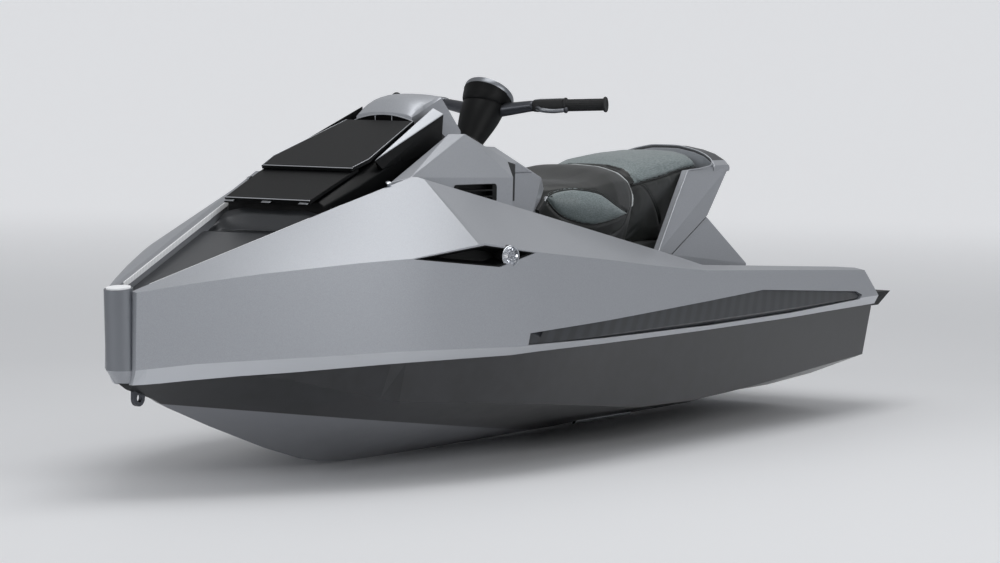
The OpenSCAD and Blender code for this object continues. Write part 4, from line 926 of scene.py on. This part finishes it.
# switch housings with buttons, and a curved lever under each; rows in mm, offsets in metres
controlSet = {
    "from": 0.0085, "to": 0.0004, "plate": 0.72, "corner": 0.5,
    "housing": [(0, 15.5, 15.5, 0), (0.05, 18.5, 18, 0.5), (0.16, 20, 19.5, 1), (0.6, 20.6, 20.6, 1),
                (0.93, 20.6, 21, 1), (1, 19.6, 20, 1)],
    "edge": (0.1, 0.3, 0.6, 0.8, 0.96), "edgeOut": 0.0125, "edgeUp": 0.0205, "edgeShare": 0.82, "edgeRadius": 1.1,
    "buttons": [(0.34, "rubber"), (0.52, "rubber"), (0.74, "gunmetal")], "buttonAt": (-0.0195, 0, 0.006),
    "buttonFacing": (-1, 0, 0.25), "button": [(6.4, -1), (6.4, 1.6), (5.6, 2.6), (3, 3.1), (0.6, 3.1)],
    "root": 0.0494, "elbow": (0.034, 0, -0.014), "tip": 0.072, "step": 5, "thick": 0.0074, "taper": 0.0014, "flat": 0.7,
    "rootRun": [(-0.036, (0.012, 0, -0.006)), (-0.02, (0.024, 0, -0.008))],
    "elbowRun": [(-0.004, (0.002, 0, 0.001)), (0.03, (0.003, 0, -0.003)), (0.056, (0.001, 0, -0.002))],
    "knobBack": 0.007, "knob": [(1, 0), (5, 0.9), (7.2, 3.6), (7.9, 7), (7.2, 10.4), (5, 13.1), (1, 14)],
}
housingStart, housingEnd = barBend + barDir * controlSet["from"], gripStart - barDir * controlSet["to"]
housing = blockAlong("housing", housingStart, housingEnd, controlSet["housing"], "matte", controlSet["corner"])
recolour(housing, "brushed", lambda c, n: n.z > controlSet["plate"])  # painted highlight: the upward faces take the brushed finish for the lit slanted top
# a bright cord along the top outer edge: a painted highlight
housingHighlightEdge = [housingStart.lerp(housingEnd, t)
               + Vector((controlSet["edgeOut"], 0, controlSet["edgeUp"] * min(1, controlSet["edgeShare"] + t)))
               for t in controlSet["edge"]]
buttons = [turned("button", housingStart.lerp(housingEnd, share) + Vector(controlSet["buttonAt"]),
                  Vector(controlSet["buttonFacing"]), controlSet["button"], finish, True, 20)
           for share, finish in controlSet["buttons"]]
root = gripStart - barDir * controlSet["root"]
elbow = root + Vector(controlSet["elbow"])
leverTip = elbow + barDir * controlSet["tip"]
leverPath = [root + barDir * along + Vector(off) for along, off in controlSet["rootRun"]]
leverPath += [elbow + barDir * along + Vector(off) for along, off in controlSet["elbowRun"]]
leverPath = densify(leverPath + [leverTip], controlSet["step"])
leverRings = []
for i, point in enumerate(leverPath):
    ahead = (leverPath[min(i + 1, len(leverPath) - 1)] - leverPath[max(i - 1, 0)]).normalized()
    radius = controlSet["thick"] - controlSet["taper"] * i / len(leverPath)
    leverRings.append(hoop(point, ahead, radius, 16, upward, 0.0, controlSet["flat"]))
knob = turned("knob", leverTip - barDir * controlSet["knobBack"], barDir, controlSet["knob"], "gunmetal", True, 24)
place(bothSides("barControls", [housing, tube("housingHighlightEdge", housingHighlightEdge, controlSet["edgeRadius"], "bright"), *buttons,
                                ringLoft("lever", leverRings, "brushed"), knob]), "steering", "levers")
print("bar dressed")

# side lamps: bezel, faceted reflector, light source and a cross of wire in front; mm and degrees
lampSet = {"centre": (556, 515.8, 363), "turn": 20.0, "facets": 14, "around": 56, "fold": 8.0,
           "body": [(30.6, -95), (30.8, -4), (30.9, -2.2), (29, -2), (27.4, -3), (27, -9), (20, -30), (8, -36),
                    (1, -36)],
           "bezel": [(30.9, -5), (31, -1), (30.4, 0), (29.2, 0.4), (28, -0.4), (27.2, -3), (27.6, -5)],
           # along, radius, dip between facets
           "star": [(-4.2, 27, 0), (-12, 23.5, 2.6), (-20, 17, 2.4), (-27, 9.5, 1.2), (-29, 5, 0)],
           "source": [(6.4, -27.5), (6.2, -21), (4.4, -18.4), (1, -17.6)],
           "wire": 0.9, "wireAt": -5.5, "wireHalf": 26.8, "wireTurn": 0.4}
lampTurn = math.radians(lampSet["turn"])
lampAxis = Vector((math.sin(lampTurn), math.cos(lampTurn), 0))
lampSide = lampAxis.orthogonal().normalized()
lampOther = lampAxis.cross(lampSide)
lampCentre = Vector(lampSet["centre"]) / 1000


def lampSpot(along, turn, radius):  # a point in the lamp, from mm along its axis, an angle and a radius in mm
    out = lampSide * math.cos(turn) + lampOther * math.sin(turn)
    return lampCentre + lampAxis * along / 1000 + out * radius / 1000


lampBody = turned("lampBody", lampCentre, lampAxis, lampSet["body"], "matte", True, lampSet["around"])
bezel = turned("lampBezel", lampCentre, lampAxis, lampSet["bezel"], "steel", False, lampSet["around"])
starRings = [[lampSpot(along, math.pi * i / lampSet["facets"], radius - (dip if i % 2 else 0))
              for i in range(2 * lampSet["facets"])] for along, radius, dip in lampSet["star"]]
star = ringLoft("lampReflector", starRings, "mirror", None, lampSet["fold"])
bulb = turned("lampSource", lampCentre, lampAxis, lampSet["source"], "frost", True, 24)
cross = [tube("lampBar", [lampSpot(lampSet["wireAt"], turn, s) for s in (-lampSet["wireHalf"], lampSet["wireHalf"])],
              lampSet["wire"], "steel") for turn in (lampSet["wireTurn"], lampSet["wireTurn"] + math.pi / 2)]
place(bothSides("sideLampUnits", [lampBody, bezel, star, bulb, *cross]), "craft", "side_lamps")
print("lamps built")

# lid: a bright cord round the upper panel, a painted highlight along its edge; outline as mm down the slope and out to
# the side
lidSet = {"top": (452, 719), "fold": (809, 592), "rise": 11.6,
          "outline": [(4, 116), (311, 164), (376, 153)], "edge": 1.1}
fall = math.atan2(lidSet["top"][1] - lidSet["fold"][1], lidSet["fold"][0] - lidSet["top"][0])
downSlope, offSlope = Vector((math.cos(fall), 0, -math.sin(fall))), Vector((math.sin(fall), 0, math.cos(fall)))
lidTop = Vector((lidSet["top"][0], 0, lidSet["top"][1])) / 1000
lidHighlightLine = [lidTop + downSlope * u / 1000 + Vector((0, w / 1000, 0)) + offSlope * lidSet["rise"] / 1000
            for u, w in lidSet["outline"]]
place(bothSides("lidHighlightEdging", [tube("edge", lidHighlightLine, lidSet["edge"], "bright")]), "lid")

# three air slots under the cap, in mm
slotSet = {"x": 438.4, "half": 104, "step": 8, "crown": 746.5, "drop": 19.0, "low": 722.0, "posts": (-29, 29),
           "cord": 1.7, "post": 1.4, "set": 0.8}


def archTop(y):
    return slotSet["crown"] - slotSet["drop"] * (y / slotSet["half"]) ** 2


arch = [(slotSet["x"], y, archTop(y)) for y in range(-slotSet["half"], slotSet["half"] + 1, slotSet["step"])]
frames = [tube("slotArch", runs(arch), slotSet["cord"], "bright")]
for y in slotSet["posts"]:
    post = runs([(slotSet["x"], y, slotSet["low"]), (slotSet["x"], y, archTop(y))])
    frames.append(tube("slotPost", post, slotSet["post"], "bright"))
# a flat near-black sheet just behind the openings: painted shade for the dark inside of the slots
mouth = bmesh.new()
high, low = ([mouth.verts.new((x / 1000 - slotSet["set"] / 1000, y / 1000, (z if upper else slotSet["low"]) / 1000))
              for x, y, z in arch] for upper in (True, False))
for i in range(len(arch) - 1):
    mouth.faces.new((high[i], low[i], low[i + 1], high[i + 1]))
frames.append(toObject(mouth, "slotMouth", "void"))
place(joined("slotFrames", frames), "craft")

# hood step: a hollow wall that rises from the hood to the lid; lines in mm, the rest in metres
stepSet = {"foot": [(1052, 164, 422.6), (1012, 168, 421.2), (992, 140, 422), (982, 105, 424), (978, 60, 424.8),
                    (977, 0, 425)],
           "head": [(1050, 165, 423.4), (1002, 175, 440), (973, 166, 470), (964, 110, 485), (963, 60, 484),
                    (963, 0, 484)],
           "hollow": 0.012, "thick": 0.003, "shares": (0.0, 0.12, 0.3, 0.55, 0.8, 1.0), "footStep": 9, "headStep": 4}
footLine = densify(runs(stepSet["foot"]), stepSet["footStep"])
headGuide = densify(runs(stepSet["head"]), stepSet["headStep"])
headLine = [headGuide[round(i * (len(headGuide) - 1) / (len(footLine) - 1))] for i in range(len(footLine))]
footLine, headLine = (line + mirrorY(line[-2::-1]) for line in (footLine, headLine))
wall = bmesh.new()
steps = [[wall.verts.new(a.lerp(b, t) + Vector((0, 0, -stepSet["hollow"] * math.sin(math.pi * t))))
          for a, b in zip(footLine, headLine)] for t in stepSet["shares"]]
for lower, upper in zip(steps[:-1], steps[1:]):
    for i in range(len(lower) - 1):
        wall.faces.new((lower[i], upper[i], upper[i + 1], lower[i + 1]))
bmesh.ops.recalc_face_normals(wall, faces=wall.faces)
hoodStep = toObject(wall, "hoodStep", "hood", 60.0)
thick = hoodStep.modifiers.new("thick", "SOLIDIFY")
thick.thickness = stepSet["thick"]
thick.offset = -1.0
place(settle(hoodStep), "craft")

# seals, pins and clips about the console, and light strips that run on to the lid: ends in metres, rows in mm
blockSet = {
    "seal": ((0.079, 0.1975, 0.55), (-0.036, 0.1545, 0.545), [(0, 2.5, 62, 0), (1, 2.5, 55, 0)], "matte", 0.6),
    "clip": ((-0.165, 0.158, 0.452), (-0.228, 0.146, 0.486),
             [(0, 7, 9, 0), (0.2, 9, 11, 0), (0.85, 9, 11, 0), (1, 7, 9, 0)], "matte", 0.5),
    "clipEdge": ((-0.208, 0.156, 0.484), (-0.232, 0.15, 0.497), [(0, 4, 2, 0), (1, 5, 2.4, 0)], "steel", 0.6),
    "stripTail": ((1.034, 0.1685, 0.4615), (0.918, 0.1945, 0.4965), [(0, 1.6, 7.4, 0), (1, 1.6, 7.4, 0)], "opal", 0.5),
}
pinSet = {"at": (0.758, 0.238, 0.556), "facing": (0.35, 0.4, 1),
          "rows": [(6, -4), (6, 3), (9, 3.6), (9.6, 5), (9, 8), (6, 10), (1, 10.6)]}
blocks = {name: blockAlong(name, Vector(start), Vector(end), rows, finish, corner)
          for name, (start, end, rows, finish, corner) in blockSet.items()}
pin = turned("pin", Vector(pinSet["at"]), Vector(pinSet["facing"]), pinSet["rows"], "steel", True, 24)
place(bothSides("consoleFittings", [blocks["seal"], pin, blocks["clip"], blocks["clipEdge"]]), "craft")
place(bothSides("stripTails", [blocks["stripTail"]]), "craft")

# foot mats and platform: foam with ribs that follow the sides; sections in mm, the rest in metres
matSet = {"shares": (0.08, 0.2, 0.32, 0.44, 0.56, 0.68, 0.8, 0.92), "lift": 0.0006, "rib": (9.0, 2.2), "edge": 1.5,
          "platformRibs": 7, "from": 0.03, "pitch": 0.02, "across": (-0.5, -0.25, 0, 0.25, 0.5), "platformLift": 0.0004,
          "platformRib": (10.0, 2.4)}
matVerts = sorted({tuple(round(value, 4) for value in v.co) for v in nodes["foot_mats"].data.vertices if v.co.y > 0})
edgesIn, edgesOut = [], []
for x in sorted({x for x, _, _ in matVerts}):
    row = [(y, z) for px, y, z in matVerts if abs(px - x) < 1e-4]
    top = max(z for _, z in row)
    edgesIn.append(Vector((x, min(y for y, _ in row), top)))
    edgesOut.append(Vector((x, max(y for y, _ in row), top)))
ribLines = [[a.lerp(b, share) + Vector((0, 0, matSet["lift"])) for a, b in zip(edgesIn, edgesOut)]
            for share in matSet["shares"]]
matMesh = copyOf("foot_mats")
roundEdges(matMesh, matSet["edge"], 40)
matBase = evenShading(toObject(matMesh, "matBase", "foam"))
matRibs = ribs("matRibs", ribLines + [mirrorY(line) for line in ribLines], *matSet["rib"], "foam")
place(joined("footMats", [matBase, matRibs]), "craft", "foot_mats")
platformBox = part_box("stern_platform")
platformRibs = [[Vector((platformBox[0][0] + matSet["from"] + i * matSet["pitch"], y,
                         platformBox[1][2] + matSet["platformLift"])) for y in matSet["across"]]
                for i in range(matSet["platformRibs"])]
place(ribs("platformRibs", platformRibs, *matSet["platformRib"], "foam"), "craft")
print("mats ribbed")

# fasteners, in mm
fastenSet = {"plate": 5.0, "duct": 2.4, "collar": 2.6, "plateX": (-1690, -1580, -1460), "plateY": (60, 140),
             "plateZ": -190.4, "ductX": -1470.3, "ductZ": -60, "ductRadius": 81.5, "collarAt": -178,
             "collarRadius": 46.5, "count": 8}
plateSpots = [((x, side * y, fastenSet["plateZ"]), (0, 0, -1)) for side in (1, -1)
              for x in fastenSet["plateX"] for y in fastenSet["plateY"]]
place(screws("plateScrews", plateSpots, fastenSet["plate"]), "craft")
ductTurns = [math.pi * (i + 0.5) / 4 for i in range(fastenSet["count"])]
ductSpots = [((fastenSet["ductX"], fastenSet["ductRadius"] * math.cos(a),
               fastenSet["ductZ"] + fastenSet["ductRadius"] * math.sin(a)), (-1, 0, 0)) for a in ductTurns]
place(screws("ductScrews", ductSpots, fastenSet["duct"]), "craft")
collarRing = hoop(headCentre + columnAxis * fastenSet["collarAt"] / 1000, columnAxis, fastenSet["collarRadius"] / 1000,
                  fastenSet["count"], columnFront)
place(screws("collarScrews", [(spot * 1000, columnAxis) for spot in collarRing], fastenSet["collar"]), "craft")
print("fasteners set")

# studio: pale floor at the keel, soft lamps, the photograph's angle
cameraSet = {"azimuth": 122.06, "elevation": 3.81, "roll": 1.02, "lens": 109.7, "place": (7.743, 4.983, 0.856)}
az, el, roll = (math.radians(cameraSet[k]) for k in ("azimuth", "elevation", "roll"))
back = Vector((math.sin(az) * math.cos(el), -math.cos(az) * math.cos(el), math.sin(el)))
right = Vector((math.cos(az), math.sin(az), 0.0))
up = back.cross(right)
rolledRight = math.cos(roll) * right + math.sin(roll) * up
rolledUp = back.cross(rolledRight)
cameraData = bpy.data.cameras.new("photoCamera")
cameraData.lens = cameraSet["lens"]
cameraData.sensor_width = 36.0
camera = shown("photoCamera", cameraData)
turn = Matrix((rolledRight, rolledUp, back)).transposed().to_4x4()
camera.matrix_world = Matrix.Translation(cameraSet["place"]) @ turn
bpy.context.scene.camera = camera

# round floor that sweeps up to a wall all round, in metres
studio = {"flat": 14.0, "sweep": 12.0, "around": 96, "floor": "#e9eaec", "air": "#f4f5f7", "world": 0.55,
          "near": 3.0, "far": 15.0, "lift": 0.4}
floorZ = cadBox[0][2] - 0.001
cove = bmesh.new()
coveRings = [(studio["flat"] * t, 0.0) for t in (0.25, 0.5, 0.75, 1.0)]
coveRings += [(studio["flat"] + studio["sweep"] * math.sin(math.radians(a)),
               studio["sweep"] * (1 - math.cos(math.radians(a)))) for a in range(5, 91, 5)]
around = studio["around"]
spokes = [2 * math.pi * i / around for i in range(around)]
coveRows = [[cove.verts.new((r * math.cos(a), r * math.sin(a), floorZ + rise)) for a in spokes]
            for r, rise in coveRings]
cove.faces.new(coveRows[0])
for inner, outer in zip(coveRows[:-1], coveRows[1:]):
    for i in range(around):
        cove.faces.new((inner[i], outer[i], outer[(i + 1) % around], inner[(i + 1) % around]))
floorMesh = bpy.data.meshes.new("floor")
cove.to_mesh(floorMesh)
cove.free()
floorMesh.shade_smooth()
floor = shown("floor", floorMesh)
floorPaint, floorTree, floorShader = newMaterial("studioFloor", studio["floor"], 0.0, 0.6,
                                                 Emission_Color=fromHex(studio["floor"]))
away = byPlace(floorTree, "ShaderNodeVectorMath", {"operation": "LENGTH"})
lift = addNode(floorTree, "ShaderNodeMapRange", {"From Min": studio["near"], "From Max": studio["far"], "To Min": 0.0,
                                                 "To Max": studio["lift"]}, Value=away.outputs["Value"])
seen = addNode(floorTree, "ShaderNodeLightPath")
haze = maths(floorTree, "MULTIPLY", lift.outputs["Result"], seen.outputs["Is Camera Ray"])
floorTree.links.new(haze, floorShader.inputs["Emission Strength"])
floorMesh.materials.append(floorPaint)
world = bpy.data.worlds.new("studio")
world.use_nodes = True
sky = world.node_tree.nodes["Background"]
sky.inputs["Color"].default_value = fromHex(studio["air"])
sky.inputs["Strength"].default_value = studio["world"]
bpy.context.scene.world = world


def softLamp(name, spot, target, size, power):  # places and sizes in metres, power in watts
    data = bpy.data.lights.new(name, "AREA")
    data.shape = "RECTANGLE"
    data.size, data.size_y = size
    data.energy = power
    lamp = shown(name, data)
    lamp.location = spot
    lamp.rotation_euler = (Vector(target) - Vector(spot)).to_track_quat("-Z", "Y").to_euler()


softLamp("overhead", (0.0, 0.5, 4.5), (0.0, 0.0, 0.3), (5.0, 2.0), 80)
softLamp("portSide", (1.0, 6.0, 2.6), (0.0, 0.0, 0.2), (5.0, 2.0), 90)
softLamp("bow", (6.5, -1.5, 2.6), (1.0, 0.0, 0.3), (2.5, 2.0), 55)
bpy.context.scene.view_settings.view_transform = "Standard"
print("studio lit")
